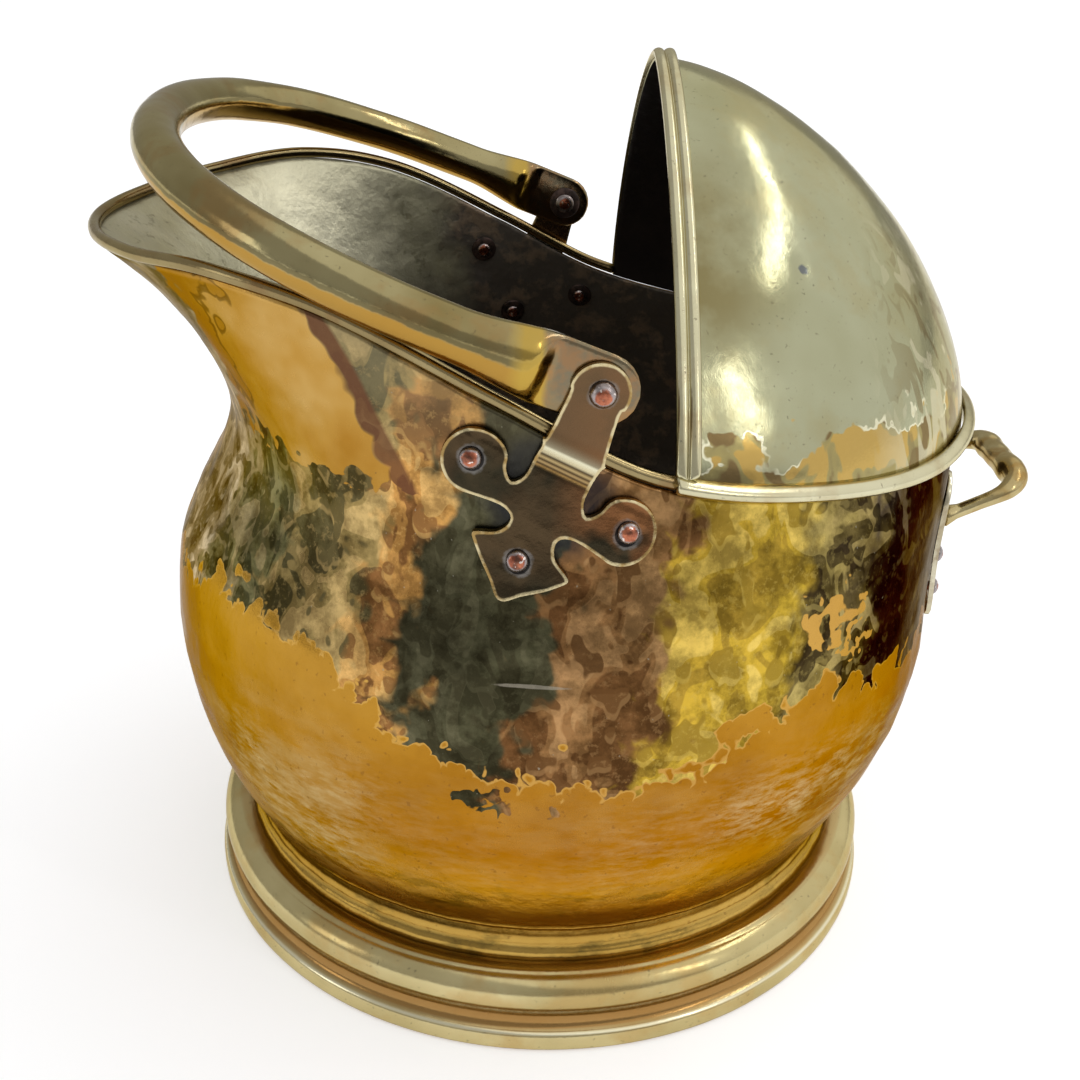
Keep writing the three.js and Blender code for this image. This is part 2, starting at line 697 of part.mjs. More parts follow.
for (const [sideName, side] of [
  ["near", -1],
  ["far", 1],
]) {
  const seat = vec(PIVOT_X, side * (EAR_INNER_Y + BRACKET_THICKNESS), PIVOT_HEIGHT);
  const lugInnerY = lugMiddleY - BAIL_LUG_THICKNESS / 2;
  const through = BRACKET_THICKNESS + EAR_INNER_Y - lugInnerY + 2 * GAP + WASHER_THICKNESS;
  const pin = rivet(
    PIVOT_HEAD_DIAMETER,
    PIVOT_HEAD_HEIGHT,
    PIVOT_SHANK_DIAMETER,
    through,
    PIVOT_HEAD_DIAMETER,
    PIVOT_HEAD_HEIGHT / 2,
  );
  add(`bail_pivot_rivet_${sideName}`, place(pin, seat, vec(0, side, 0)), copper);
  const washerAt = vec(PIVOT_X, side * (lugInnerY - GAP), PIVOT_HEIGHT);
  add(
    `bail_pivot_washer_${sideName}`,
    place(ring(PIVOT_SHANK_DIAMETER + 2 * GAP, WASHER_DIAMETER, WASHER_THICKNESS), washerAt, vec(0, side, 0)),
    copper,
  );
}

// ---------------------------------------------------------------- rear grip
const COLLAR_RADIUS = GRIP_LEG_DIAMETER / 2 + GRIP_COLLAR;
// The furthest out that a plate reaches behind a leg's collar.
const gripSeatX =
  GRIP_PLATE_THICKNESS +
  Math.max(
    ...[-1, 0, 1].flatMap((dy) =>
      [-1, 0, 1].map((dz) =>
        plateInnerX(GRIP_HALF_SPAN + dy * COLLAR_RADIUS, GRIP_SEAT_HEIGHT + dz * COLLAR_RADIUS),
      ),
    ),
  );

// An upright plate bent to the body, rounded at both ends.
function gripPlate(side) {
  const half = GRIP_PLATE_WIDTH / 2;
  const top = GRIP_SEAT_HEIGHT + GRIP_PLATE_ABOVE;
  const bottom = GRIP_SEAT_HEIGHT - GRIP_PLATE_BELOW;
  const waist = [half * 0.72, (top + bottom) / 2];
  const outline = [
    ...arc(0, top - half, half, 0, 180, 6),
    [-waist[0], waist[1]],
    ...arc(0, bottom + half * 0.9, half * 0.9, 180, 360, 6),
    waist,
  ];
  const shape = new THREE.Shape(outline.map(([y, z]) => new THREE.Vector2(y, z)));
  const flat = new THREE.ExtrudeGeometry(shape, { depth: GRIP_PLATE_THICKNESS, bevelEnabled: false });
  const merged = splitLongEdges(facesOutOf(flat), PLATE_FACE);
  const p = merged.attributes.position;
  for (let i = 0; i < p.count; i++) {
    const y = side * GRIP_HALF_SPAN + p.getX(i);
    const height = p.getY(i);
    p.setXYZ(i, plateInnerX(y, height) + p.getZ(i), y, height);
  }
  return facesOutOf(merged);
}
for (const [sideName, side] of [
  ["near", -1],
  ["far", 1],
]) {
  const drills = GRIP_RIVET_DROPS.map((drop, i) => {
    const { point, normal } = rearOfBody(side * GRIP_HALF_SPAN, GRIP_SEAT_HEIGHT - drop);
    const seat = point.clone().addScaledVector(normal, PLATE_GAP + GRIP_PLATE_THICKNESS);
    return addRivet(`grip_rivet_${sideName}_${i ? "lower" : "upper"}`, seat, normal, GRIP_PLATE_THICKNESS);
  });
  add(`grip_plate_${sideName}`, cut(gripPlate(side), drills), plateBrass);
}

function rearGrip() {
  const startX = gripSeatX + PLATE_GAP;
  const slope = GRIP_RISE / GRIP_REACH;
  const at = (out, y) => vec(startX + out, y, GRIP_SEAT_HEIGHT + slope * out);
  const path = new THREE.CurvePath();
  const r = GRIP_CORNER_RADIUS;
  path.add(new THREE.LineCurve3(at(0, -GRIP_HALF_SPAN), at(GRIP_REACH - r, -GRIP_HALF_SPAN)));
  path.add(
    new THREE.QuadraticBezierCurve3(
      at(GRIP_REACH - r, -GRIP_HALF_SPAN),
      at(GRIP_REACH, -GRIP_HALF_SPAN),
      at(GRIP_REACH, r - GRIP_HALF_SPAN),
    ),
  );
  path.add(new THREE.LineCurve3(at(GRIP_REACH, r - GRIP_HALF_SPAN), at(GRIP_REACH, GRIP_HALF_SPAN - r)));
  path.add(
    new THREE.QuadraticBezierCurve3(
      at(GRIP_REACH, GRIP_HALF_SPAN - r),
      at(GRIP_REACH, GRIP_HALF_SPAN),
      at(GRIP_REACH - r, GRIP_HALF_SPAN),
    ),
  );
  path.add(new THREE.LineCurve3(at(GRIP_REACH - r, GRIP_HALF_SPAN), at(0, GRIP_HALF_SPAN)));
  const steps = 26;
  const length = path.getLength();
  return skin(
    Array.from({ length: steps + 1 }, (_, i) => {
      const u = i / steps;
      const fromEnd = Math.min(u, 1 - u) * length;
      const swell = smooth(fromEnd, GRIP_REACH * 0.5, GRIP_REACH + GRIP_HALF_SPAN * 0.5);
      const collar = 1 - smooth(fromEnd, 0, 5);
      const thickness = THREE.MathUtils.lerp(GRIP_LEG_DIAMETER, GRIP_BAR_DIAMETER, swell);
      const radius = thickness / 2 + GRIP_COLLAR * collar;
      const centre = path.getPointAt(u);
      const across = path.getTangentAt(u).cross(UP).normalize();
      return Array.from({ length: 8 }, (_, k) => {
        const a = (2 * Math.PI * k) / 8;
        return centre
          .clone()
          .addScaledVector(across, radius * Math.cos(a))
          .addScaledVector(UP, radius * Math.sin(a));
      });
    }),
  );
}
add("rear_grip", rearGrip(), castBrass);

// ---------------------------------------------------------------- body, floor and foot
add("body_shell", cut(plainBody, bodyDrills), hammeredBrass);

const floorRadius = THROAT_RADIUS - WALL - 2 * GAP;
add(
  "floor_plate",
  turned(
    [
      [0, FOOT_HEIGHT + GAP],
      [floorRadius, FOOT_HEIGHT + GAP],
      [floorRadius, FOOT_HEIGHT + GAP + WALL],
      [0, FOOT_HEIGHT + GAP + WALL],
    ],
    AROUND,
  ).rotateZ(Math.PI / 2),
  sheetBrass,
);

function footRing() {
  const beadCentre = FOOT_BEAD_REACH - FOOT_BEAD_RADIUS;
  const torusCentre = FOOT_TORUS_REACH - FOOT_TORUS_RADIUS;
  const inner = FOOT_WALL;
  return turned(
    [
      [FOOT_FACE_INNER_RADIUS, 0],
      ...arc(beadCentre, FOOT_BEAD_RADIUS, FOOT_BEAD_RADIUS, -90, 60, 6),
      ...arc(torusCentre, FOOT_TORUS_HEIGHT, FOOT_TORUS_RADIUS, -30, 90, 5),
      [BODY_SEAT_RADIUS + 1, FOOT_HEIGHT],
      [FOOT_SHELF_RADIUS, FOOT_HEIGHT],
      [FOOT_SHELF_RADIUS, FOOT_HEIGHT - inner],
      [torusCentre, FOOT_HEIGHT - inner - 1],
      ...arc(torusCentre, FOOT_TORUS_HEIGHT, FOOT_TORUS_RADIUS - inner, 60, -30, 2),
      ...arc(beadCentre, FOOT_BEAD_RADIUS, FOOT_BEAD_RADIUS - inner, 60, -90, 3),
      [FOOT_FACE_INNER_RADIUS, inner],
      [FOOT_FACE_INNER_RADIUS, 0],
    ],
    AROUND,
  );
}
add("foot_ring", footRing().rotateZ(Math.PI / 2), smoothBrass);

// ---------------------------------------------------------------- rim wire, hood and beads
// The angle at which the rim passes under the hood's front edge.
function cornerAngle() {
  let low = 45;
  let high = 135;
  for (let i = 0; i < 40; i++) {
    const middle = (low + high) / 2;
    if (rimPoint(middle).x > HOOD_FRONT_X) low = middle;
    else high = middle;
  }
  return (low + high) / 2;
}
const WIRE_RISE = RIM_WIRE_DIAMETER / 2 + 2 * GAP; // middle of the wire above the sheet's edge
const CORNER = cornerAngle();
const corner = rimPoint(CORNER);

function rimWire() {
  const radius = RIM_WIRE_DIAMETER / 2;
  const stations = 50;
  const cornerRadius = corner.distanceTo(vec(RIM_CENTRE_X, 0, corner.z));
  const start = CORNER + THREE.MathUtils.radToDeg((2 * GAP) / cornerRadius);
  return skin(
    Array.from({ length: stations + 1 }, (_, i) => {
      const d = start + ((360 - 2 * start) * i) / stations;
      const tangent = rimPoint(d + 0.5).sub(rimPoint(d - 0.5)).normalize();
      const across = tangent.clone().cross(UP).normalize();
      const centre = rimPoint(d)
        .addScaledVector(across, -WALL / 2)
        .addScaledVector(UP, WIRE_RISE);
      const top = across.clone().cross(tangent).normalize();
      return Array.from({ length: 8 }, (_, k) => {
        const a = (2 * Math.PI * (k + 0.5)) / 8;
        return centre
          .clone()
          .addScaledVector(across, radius * Math.cos(a))
          .addScaledVector(top, radius * Math.sin(a));
      });
    }),
  );
}
add("spout_rim_wire", rimWire(), smoothBrass);

// A point of the hood: turn -1 to 1 goes round its base, and climb 0 to 1 goes up to its top.
function hoodPoint(turn, climb) {
  const base = rimPoint(turn * CORNER).add(vec(0, 0, GAP));
  const top = vec(HOOD_FRONT_X, 0, corner.z + HOOD_RISE);
  const fullness = THREE.MathUtils.lerp(HOOD_CREST_FULLNESS, HOOD_ARCH_FULLNESS, Math.abs(turn) ** 2);
  const e = (Math.PI / 2) * climb;
  const inward = 1 - Math.max(Math.cos(e), 0) ** (2 / fullness);
  const upward = Math.sin(e) ** (2 / fullness);
  return vec(
    THREE.MathUtils.lerp(base.x, top.x, inward),
    THREE.MathUtils.lerp(base.y, top.y, inward),
    THREE.MathUtils.lerp(base.z, top.z, upward),
  );
}

function hood() {
  const climbs = Array.from({ length: HOOD_UP }, (_, i) => i / HOOD_UP);
  const turns = Array.from({ length: HOOD_AROUND + 1 }, (_, j) => (2 * j) / HOOD_AROUND - 1);
  const outer = climbs.map((c) => turns.map((t) => hoodPoint(t, c)));
  const top = hoodPoint(0, 1);
  outer.push(turns.map(() => top.clone()));
  const centre = vec(HOOD_FRONT_X, 0, corner.z);
  const inner = outer.map((row, i) =>
    row.map((p, j) => {
      if (i === outer.length - 1) return p.clone().setZ(p.z - WALL * 1.4);
      const step = 0.02;
      const [t, c] = [turns[j], climbs[i]];
      const along = hoodPoint(t, Math.min(c + step, 1)).sub(hoodPoint(t, Math.max(c - step, 0)));
      const across = hoodPoint(Math.min(t + step, 1), c).sub(hoodPoint(Math.max(t - step, -1), c));
      const outward = across.cross(along).normalize();
      if (outward.dot(p.clone().sub(centre)) < 0) outward.negate();
      if (i === 0) outward.setZ(0).normalize();
      if (j === 0 || j === turns.length - 1) outward.setX(0).normalize();
      return p.clone().addScaledVector(outward, -WALL);
    }),
  );
  return wall(outer, inner, false);
}
add("hood_shell", hood(), smoothBrass);

// Half-round bead over the seam between the body and the hood.
function baseBead() {
  const stations = 30;
  return skin(
    Array.from({ length: stations + 1 }, (_, i) => {
      const d = -CORNER + (2 * CORNER * i) / stations;
      const seam = rimPoint(d);
      const tangent = rimPoint(d + 0.5).sub(rimPoint(d - 0.5)).normalize();
      const out = tangent.clone().cross(UP).normalize();
      const section = arc(0, 0, 1, -90, 90, 7);
      const up = bodyLine(d).getTangent(1);
      const lean = Math.max(0, -up.dot(out) / up.z); // the wall spreads this much per mm downwards
      return section.map(([c, s]) => {
        const below = Math.max(0, -s) * (BASE_BEAD_HEIGHT / 2);
        return seam
          .clone()
          .addScaledVector(out, 2 * GAP + lean * below + c * BASE_BEAD_DEPTH)
          .addScaledVector(UP, WIRE_RISE + (s * BASE_BEAD_HEIGHT) / 2);
      });
    }),
  );
}
add("hood_base_bead", baseBead(), smoothBrass);

// Double bead along the hood's front edge.
function frontBead() {
  const steps = 14;
  const lowest = 0.1;
  const climbs = Array.from({ length: steps + 1 }, (_, i) => lowest + ((1 - lowest) * i) / steps);
  // Two rolls side by side, as [share of the width, share of the height].
  const rolls = [
    [0, 0.1],
    [0.06, 0.75],
    [0.25, 1],
    [0.44, 0.75],
    [0.5, 0.45],
    [0.56, 0.75],
    [0.75, 1],
    [0.94, 0.75],
    [1, 0.1],
  ];
  const half = (side) =>
    climbs.map((c) => {
      const edge = hoodPoint(side, c);
      const ahead = hoodPoint(side, Math.min(c + 0.01, 1)).sub(hoodPoint(side, c - 0.01));
      const out = c === 1 ? UP.clone() : vec(0, side * Math.abs(ahead.z), Math.abs(ahead.y)).normalize();
      return rolls.map(([across, high]) =>
        edge
          .clone()
          .add(vec(across * FRONT_BEAD_WIDTH - 1, 0, 0))
          .addScaledVector(out, 2 * GAP + high * FRONT_BEAD_HEIGHT),
      );
    });
  const near = half(-1);
  const far = half(1)
    .slice(0, -1)
    .reverse();
  return skin([...near, ...far]);
}
add("hood_front_bead", frontBead(), smoothBrass);

// ---------------------------------------------------------------- origin
// From the foot's centre to the middle of the scuttle's length.
const middle = new THREE.Box3().setFromObject(scuttle).getCenter(vec(0, 0, 0));
for (const mesh of scuttle.children) mesh.geometry.translate(-middle.x, 0, 0);

export default scuttle;
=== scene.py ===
# %% [markdown]
# # A brass coal scuttle
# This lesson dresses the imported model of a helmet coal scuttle: a hammered round body, a half
# hood, a rolled foot, a bail handle and a small grip behind. The solids come first, as a fixed
# frame in metres. Every new piece is laid over its solid and then rides on the same body, so
# that the bail still swings.

# %% Load the frame
import bpy
import math
import numpy as np
from mathutils import Matrix, Vector, noise
from mathutils.bvhtree import BVHTree


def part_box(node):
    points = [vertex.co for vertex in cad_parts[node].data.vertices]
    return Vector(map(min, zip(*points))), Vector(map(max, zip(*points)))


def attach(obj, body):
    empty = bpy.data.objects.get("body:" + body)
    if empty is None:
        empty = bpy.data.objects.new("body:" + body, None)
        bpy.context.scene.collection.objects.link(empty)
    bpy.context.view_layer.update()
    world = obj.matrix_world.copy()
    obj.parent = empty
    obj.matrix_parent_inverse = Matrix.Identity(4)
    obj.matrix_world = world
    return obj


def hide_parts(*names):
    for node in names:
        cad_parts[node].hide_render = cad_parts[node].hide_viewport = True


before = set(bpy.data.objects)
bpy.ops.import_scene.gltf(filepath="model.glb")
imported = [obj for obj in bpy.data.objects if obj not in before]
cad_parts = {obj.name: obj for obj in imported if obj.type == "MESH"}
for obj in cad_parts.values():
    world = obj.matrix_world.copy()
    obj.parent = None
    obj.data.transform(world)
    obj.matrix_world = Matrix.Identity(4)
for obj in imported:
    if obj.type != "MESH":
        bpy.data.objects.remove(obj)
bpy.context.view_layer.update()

# %% [markdown]
# ## The camera
# The photograph was taken from a little above the rim, on the near side. Its place and turn
# were found by fitting the foot, the rivets and the outline. The camera is made first, because
# everything else is judged through it.

# %% Camera
VIEW_PLACE = Vector((-0.033937, -0.539111, 0.413596))
VIEW_YAW = 0.0368  # from +Y towards +X
VIEW_PITCH = 0.451  # looking down
VIEW_ROLL = 0.0267
VIEW_LENS = 44.21  # mm on a 36 mm wide sensor

ahead = Vector((
    math.sin(VIEW_YAW) * math.cos(VIEW_PITCH),
    math.cos(VIEW_YAW) * math.cos(VIEW_PITCH),
    -math.sin(VIEW_PITCH),
))
level = Vector((math.cos(VIEW_YAW), -math.sin(VIEW_YAW), 0))
upright = level.cross(ahead)
right = level * math.cos(VIEW_ROLL) + upright * math.sin(VIEW_ROLL)
top = upright * math.cos(VIEW_ROLL) - level * math.sin(VIEW_ROLL)

bpy.ops.object.select_all(action="DESELECT")
bpy.ops.object.camera_add(location=VIEW_PLACE)
camera = bpy.context.object
camera.name = "view_from_near_side"
camera.data.lens = VIEW_LENS
camera.data.sensor_width = 36
turn = Matrix((right, top, -ahead)).transposed()
camera.matrix_world = Matrix.Translation(VIEW_PLACE) @ turn.to_4x4()
bpy.context.scene.camera = camera
bpy.context.scene.view_settings.view_transform = "Standard"
print("camera at", VIEW_PLACE[:])

# %% [markdown]
# ## Floor and light
# A brass pot shows its room more than itself, so the room is kept plain: a pale floor that runs
# out of sight, a broad light from above, two strips that draw the bright lines on the hood and the
# bail, a softbox on the left, and a world that is a little darker below than above.

# %% Floor, lamps and world
FLOOR_HALF = 40
bpy.ops.object.select_all(action="DESELECT")
bpy.ops.mesh.primitive_plane_add(size=2 * FLOOR_HALF, location=(0, 0, 0))
floor = bpy.context.object
floor.name = "studio_floor"

floor_finish = bpy.data.materials.new("pale_floor")
floor_finish.use_nodes = True
nodes, links = floor_finish.node_tree.nodes, floor_finish.node_tree.links
nodes.clear()
floor_out = nodes.new("ShaderNodeOutputMaterial")
floor_sum = nodes.new("ShaderNodeAddShader")
floor_matt = nodes.new("ShaderNodeBsdfDiffuse")
floor_matt.inputs["Color"].default_value = (0.85, 0.86, 0.88, 1)
floor_lift = nodes.new("ShaderNodeEmission")
floor_lift.inputs["Color"].default_value = (1, 1, 1, 1)
seen = nodes.new("ShaderNodeLightPath")
seen_sum = nodes.new("ShaderNodeMath")
seen_sum.operation = "MAXIMUM"
links.new(seen.outputs["Is Camera Ray"], seen_sum.inputs[0])
links.new(seen.outputs["Is Glossy Ray"], seen_sum.inputs[1])
seen_too = nodes.new("ShaderNodeMath")
seen_too.operation = "MAXIMUM"
links.new(seen_sum.outputs[0], seen_too.inputs[0])
links.new(seen.outputs["Is Transmission Ray"], seen_too.inputs[1])
lift_amount = nodes.new("ShaderNodeMath")
lift_amount.operation = "MULTIPLY"
lift_amount.inputs[1].default_value = 0.44
links.new(seen_too.outputs[0], lift_amount.inputs[0])
links.new(lift_amount.outputs[0], floor_lift.inputs["Strength"])
links.new(floor_matt.outputs[0], floor_sum.inputs[0])
links.new(floor_lift.outputs[0], floor_sum.inputs[1])
links.new(floor_sum.outputs[0], floor_out.inputs["Surface"])
floor.data.materials.append(floor_finish)


def soft_lamp(name, place, target, width, height, power):
    """A rectangular softbox that faces its target."""
    bpy.ops.object.select_all(action="DESELECT")
    bpy.ops.object.light_add(type="AREA", location=place)
    lamp = bpy.context.object
    lamp.name = name
    lamp.data.shape = "RECTANGLE"
    lamp.data.size = width
    lamp.data.size_y = height
    lamp.data.energy = power
    lamp.rotation_euler = (Vector(target) - Vector(place)).to_track_quat("-Z", "Y").to_euler()
    return lamp


bpy.ops.object.light_add(type="SUN", location=(1.2, 0.6, 2.0))
broad = bpy.context.object
broad.name = "broad_soft_light"
broad.data.energy = 1.1
broad.data.angle = math.radians(110)
broad.rotation_euler = Vector((-0.62, 0.0, -0.78)).to_track_quat("-Z", "Y").to_euler()

MIDDLE = (0, 0, 0.25)
soft_lamp("long_strip", (1.05, 0.27, 1.58), (0.06, -0.06, 0.32), 1.1, 0.07, 2.0)
soft_lamp("short_strip", (1.05, -0.9, 1.08), (0.05, -0.12, 0.26), 0.10, 0.55, 1.1)
soft_lamp("left_softbox", (-1.7, -0.7, 0.75), MIDDLE, 0.5, 0.7, 1.6)

world = bpy.data.worlds.new("plain_room")
bpy.context.scene.world = world
world.use_nodes = True
nodes, links = world.node_tree.nodes, world.node_tree.links
nodes.clear()
world_out = nodes.new("ShaderNodeOutputWorld")
world_light = nodes.new("ShaderNodeBackground")
direction = nodes.new("ShaderNodeTexCoord")
split = nodes.new("ShaderNodeSeparateXYZ")
heights = nodes.new("ShaderNodeValToRGB")
heights.color_ramp.elements[0].position = 0.0
heights.color_ramp.elements[0].color = (0.46, 0.46, 0.46, 1)
heights.color_ramp.elements[1].position = 1.0
heights.color_ramp.elements[1].color = (0.58, 0.58, 0.58, 1)
middle_height = heights.color_ramp.elements.new(0.35)
middle_height.color = (0.56, 0.56, 0.56, 1)
links.new(direction.outputs["Generated"], split.inputs[0])
links.new(split.outputs["Z"], heights.inputs[0])
links.new(heights.outputs["Color"], world_light.inputs["Color"])
world_light.inputs["Strength"].default_value = 0.84
links.new(world_light.outputs[0], world_out.inputs["Surface"])
print("floor, lamps and world made")

# %% [markdown]
# ## A helper that forms sheet
# Most of this object is sheet brass that was raised, rolled or turned. The same is done here: a
# flat grid is added, and each of its corners is moved to its place on the piece. The edges
# that meet are then merged and the faces turned outwards. Every piece says which solid it
# stands for and which body carries it.

# %% Forming helpers
BODY = "scuttle_body"
BAIL_BODY = "bail_handle"
SHEET = 0.0014  # thickness of the body's and the hood's sheet


def pick(piece):
    """Makes one piece the only selected and active one."""
    bpy.ops.object.select_all(action="DESELECT")
    piece.select_set(True)
    bpy.context.view_layer.objects.active = piece


def seal(piece, merge=1e-5, outwards=True):
    """Merges corners that meet and turns the faces outwards."""
    pick(piece)
    bpy.ops.object.mode_set(mode="EDIT")
    bpy.ops.mesh.select_all(action="SELECT")
    bpy.ops.mesh.remove_doubles(threshold=merge)
    if outwards:
        bpy.ops.mesh.normals_make_consistent(inside=False)
    bpy.ops.object.mode_set(mode="OBJECT")


def formed(name, across, along, place):
    """A grid of faces whose corners lie at place(s, t), with s and t from 0 to 1."""
    bpy.ops.object.select_all(action="DESELECT")
    bpy.ops.mesh.primitive_grid_add(x_subdivisions=across, y_subdivisions=along, size=2)
    piece = bpy.context.object
    piece.name = name
    for corner in piece.data.vertices:
        corner.co = place((corner.co.x + 1) / 2, (corner.co.y + 1) / 2)
    seal(piece)
    bpy.ops.object.shade_smooth()
    return piece


def face_away(piece, point):
    """Turns an open sheet's faces away from a point inside it."""
    outward = sum((f.center - Vector(point)).dot(f.normal) for f in piece.data.polygons)
    if outward < 0:
        piece.data.flip_normals()


def apply_all(piece):
    """Turns every modifier into plain geometry."""
    pick(piece)
    for modifier in list(piece.modifiers):
        bpy.ops.object.modifier_apply(modifier=modifier.name)


def thicken(piece):
    """Gives an open sheet its thickness, and its inside a finish of its own."""
    for name in ("outside_for_now", "inside_for_now"):
        piece.data.materials.append(bpy.data.materials.new(name))
    wall = piece.modifiers.new("sheet_thickness", "SOLIDIFY")
    wall.thickness = SHEET
    wall.offset = -1
    wall.material_offset = 1
    wall.use_even_offset = True
    apply_all(piece)


def soften(piece, width, segments, degrees):
    """Adds a bevel to the edges that turn by more than the given angle."""
    edge = piece.modifiers.new("soft_edge", "BEVEL")
    edge.width = width
    edge.segments = segments
    edge.limit_method = "ANGLE"
    edge.angle_limit = math.radians(degrees)


def store(piece, name, value_at):
    """Keeps a number at every corner, for a finish to read."""
    kept = piece.data.attributes.new(name, "FLOAT", "POINT")
    for i, corner in enumerate(piece.data.vertices):
        kept.data[i].value = value_at(corner)


def dress(piece, body, slot, *solids):
    """Says which solids the piece stands for and what carries it; the finish slot is not used."""
    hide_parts(*solids)
    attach(piece, body)
    print(piece.name, "faces:", len(piece.data.polygons))


def refined(node, name, bevel):
    """A merged copy of a solid with softened edges."""
    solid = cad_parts[node]
    piece = bpy.data.objects.new(name, solid.data.copy())
    bpy.context.scene.collection.objects.link(piece)
    piece.data.materials.clear()
    seal(piece, merge=1e-6, outwards=False)
    bpy.ops.object.mode_set(mode="EDIT")
    bpy.ops.mesh.select_all(action="SELECT")
    bpy.ops.mesh.customdata_custom_splitnormals_clear()
    bpy.ops.mesh.tris_convert_to_quads(
        face_threshold=math.radians(25), shape_threshold=math.radians(60),
    )
    bpy.ops.object.mode_set(mode="OBJECT")
    soften(piece, bevel, segments=2, degrees=50)
    apply_all(piece)
    bpy.ops.object.shade_smooth_by_angle(angle=math.radians(40))
    return piece


def own_copy(piece, name):
    """A second piece with a mesh of its own."""
    other = piece.copy()
    other.data = piece.data.copy()
    other.name = name
    bpy.context.scene.collection.objects.link(other)
    return other


def share(value, start, end):
    """How far a value has come from start to end, from 0 to 1."""
    return min(1, max(0, (value - start) / (end - start)))


def eased(u):
    """The same way from 0 to 1, but with a soft start and a soft end."""
    return u * u * (3 - 2 * u)


def evenly(points, count):
    """The same line with its points an equal way apart, and its length."""
    lengths = np.concatenate([[0], np.cumsum(np.linalg.norm(np.diff(points, axis=0), axis=1))])
    even = np.linspace(0, lengths[-1], count)
    return np.stack([np.interp(even, lengths, points[:, k]) for k in range(3)], 1), lengths[-1]


# %% [markdown]
# ## The line of the rim
# The rim is the line that the body, the wire, the hood and its moulding all share. From above it
# is an egg with its long end at the spout, and from the side it climbs from the hood to the
# spout. It is kept as a short list of stations, in metres, with smooth values between them.

# %% Rim
FOOT_X = -0.0104992  # the centre of the foot
RIM_CENTRE_X = FOOT_X + 0.016
# degrees from the rear, distance from the rim's centre, height
RIM = (
    (0, 0.1563, 0.2235), (30, 0.1495, 0.222), (60, 0.143, 0.229), (85, 0.142, 0.2405),
    (105, 0.1455, 0.265), (125, 0.1595, 0.2905), (140, 0.174, 0.299), (155, 0.187, 0.297),
    (168, 0.195, 0.2945), (180, 0.199, 0.2935),
)


def between(stations, place, column):
    """A smooth value through the stations, level at both ends."""
    if place <= stations[0][0]:
        return stations[0][column]
    if place >= stations[-1][0]:
        return stations[-1][column]
    i = max(k for k in range(len(stations)) if stations[k][0] <= place)

    def slope(k):
        if k <= 0 or k >= len(stations) - 1:
            return 0
        rise = stations[k + 1][column] - stations[k - 1][column]
        return rise / (stations[k + 1][0] - stations[k - 1][0])

    step = stations[i + 1][0] - stations[i][0]
    t = (place - stations[i][0]) / step
    return (
        stations[i][column] * (2 * t**3 - 3 * t**2 + 1)
        + slope(i) * step * (t**3 - 2 * t**2 + t)
        + stations[i + 1][column] * (3 * t**2 - 2 * t**3)
        + slope(i + 1) * step * (t**3 - t**2)
    )


def rim_point(degrees):
    """A point of the rim, by its angle from the rear."""
    folded = abs((degrees + 180) % 360 - 180)
    radius = between(RIM, folded, 1)
    a = math.radians(degrees)
    return Vector((
        RIM_CENTRE_X + radius * math.cos(a), radius * math.sin(a), between(RIM, folded, 2),
    ))


def rim_heading(degrees):
    """Along the rim, and level and outwards from it."""
    along = (rim_point(degrees + 0.5) - rim_point(degrees - 0.5)).normalized()
    return along, along.cross(Vector((0, 0, 1))).normalized()


print("rim from", rim_point(0)[:], "to", rim_point(180)[:])

# %% [markdown]
# ## The body
# The real body is one sheet, raised with a hammer and planished, so it is full of shallow, round
# dents. The solid has the form but not the dents. A fine grid is wrapped round it by shooting a
# level line at the solid from every direction and height. It is relaxed a little, so that
# the solid's flats don't show, and then dented along its own normals. Solidify gives the
# sheet its thickness and keeps the inside as a finish of its own, because that is sooty.

# %% Body sheet
BODY_AROUND = 300
BODY_BOTTOM = 0.0343
THROAT_ROWS = 17
THROAT_TOP = 0.056
UPPER_ROWS = 108
THROAT_RADIUS = 0.139
RIM_MARGIN = 0.0008  # the solid's wall isn't looked for any nearer to its upper edge
WELL_OUTSIDE = 0.4  # where the lines that look for the wall start
FAR_WALL = 0.3  # a line that ran this far has missed the near wall

body_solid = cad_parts["body_shell"]
body_tree = BVHTree.FromPolygons(
    [v.co for v in body_solid.data.vertices], [tuple(p.vertices) for p in body_solid.data.polygons]
)


def wall_radius(a, height):
    """Distance of the body's outer face from the foot's axis."""
    out = Vector((math.cos(a), math.sin(a), 0))
    start = Vector((FOOT_X, 0, height)) + out * WELL_OUTSIDE
    hit = body_tree.ray_cast(start, -out)
    # A line through a rivet's hole meets the far wall, and doesn't count.
    return WELL_OUTSIDE - hit[3] if hit[0] is not None and hit[3] < FAR_WALL else None


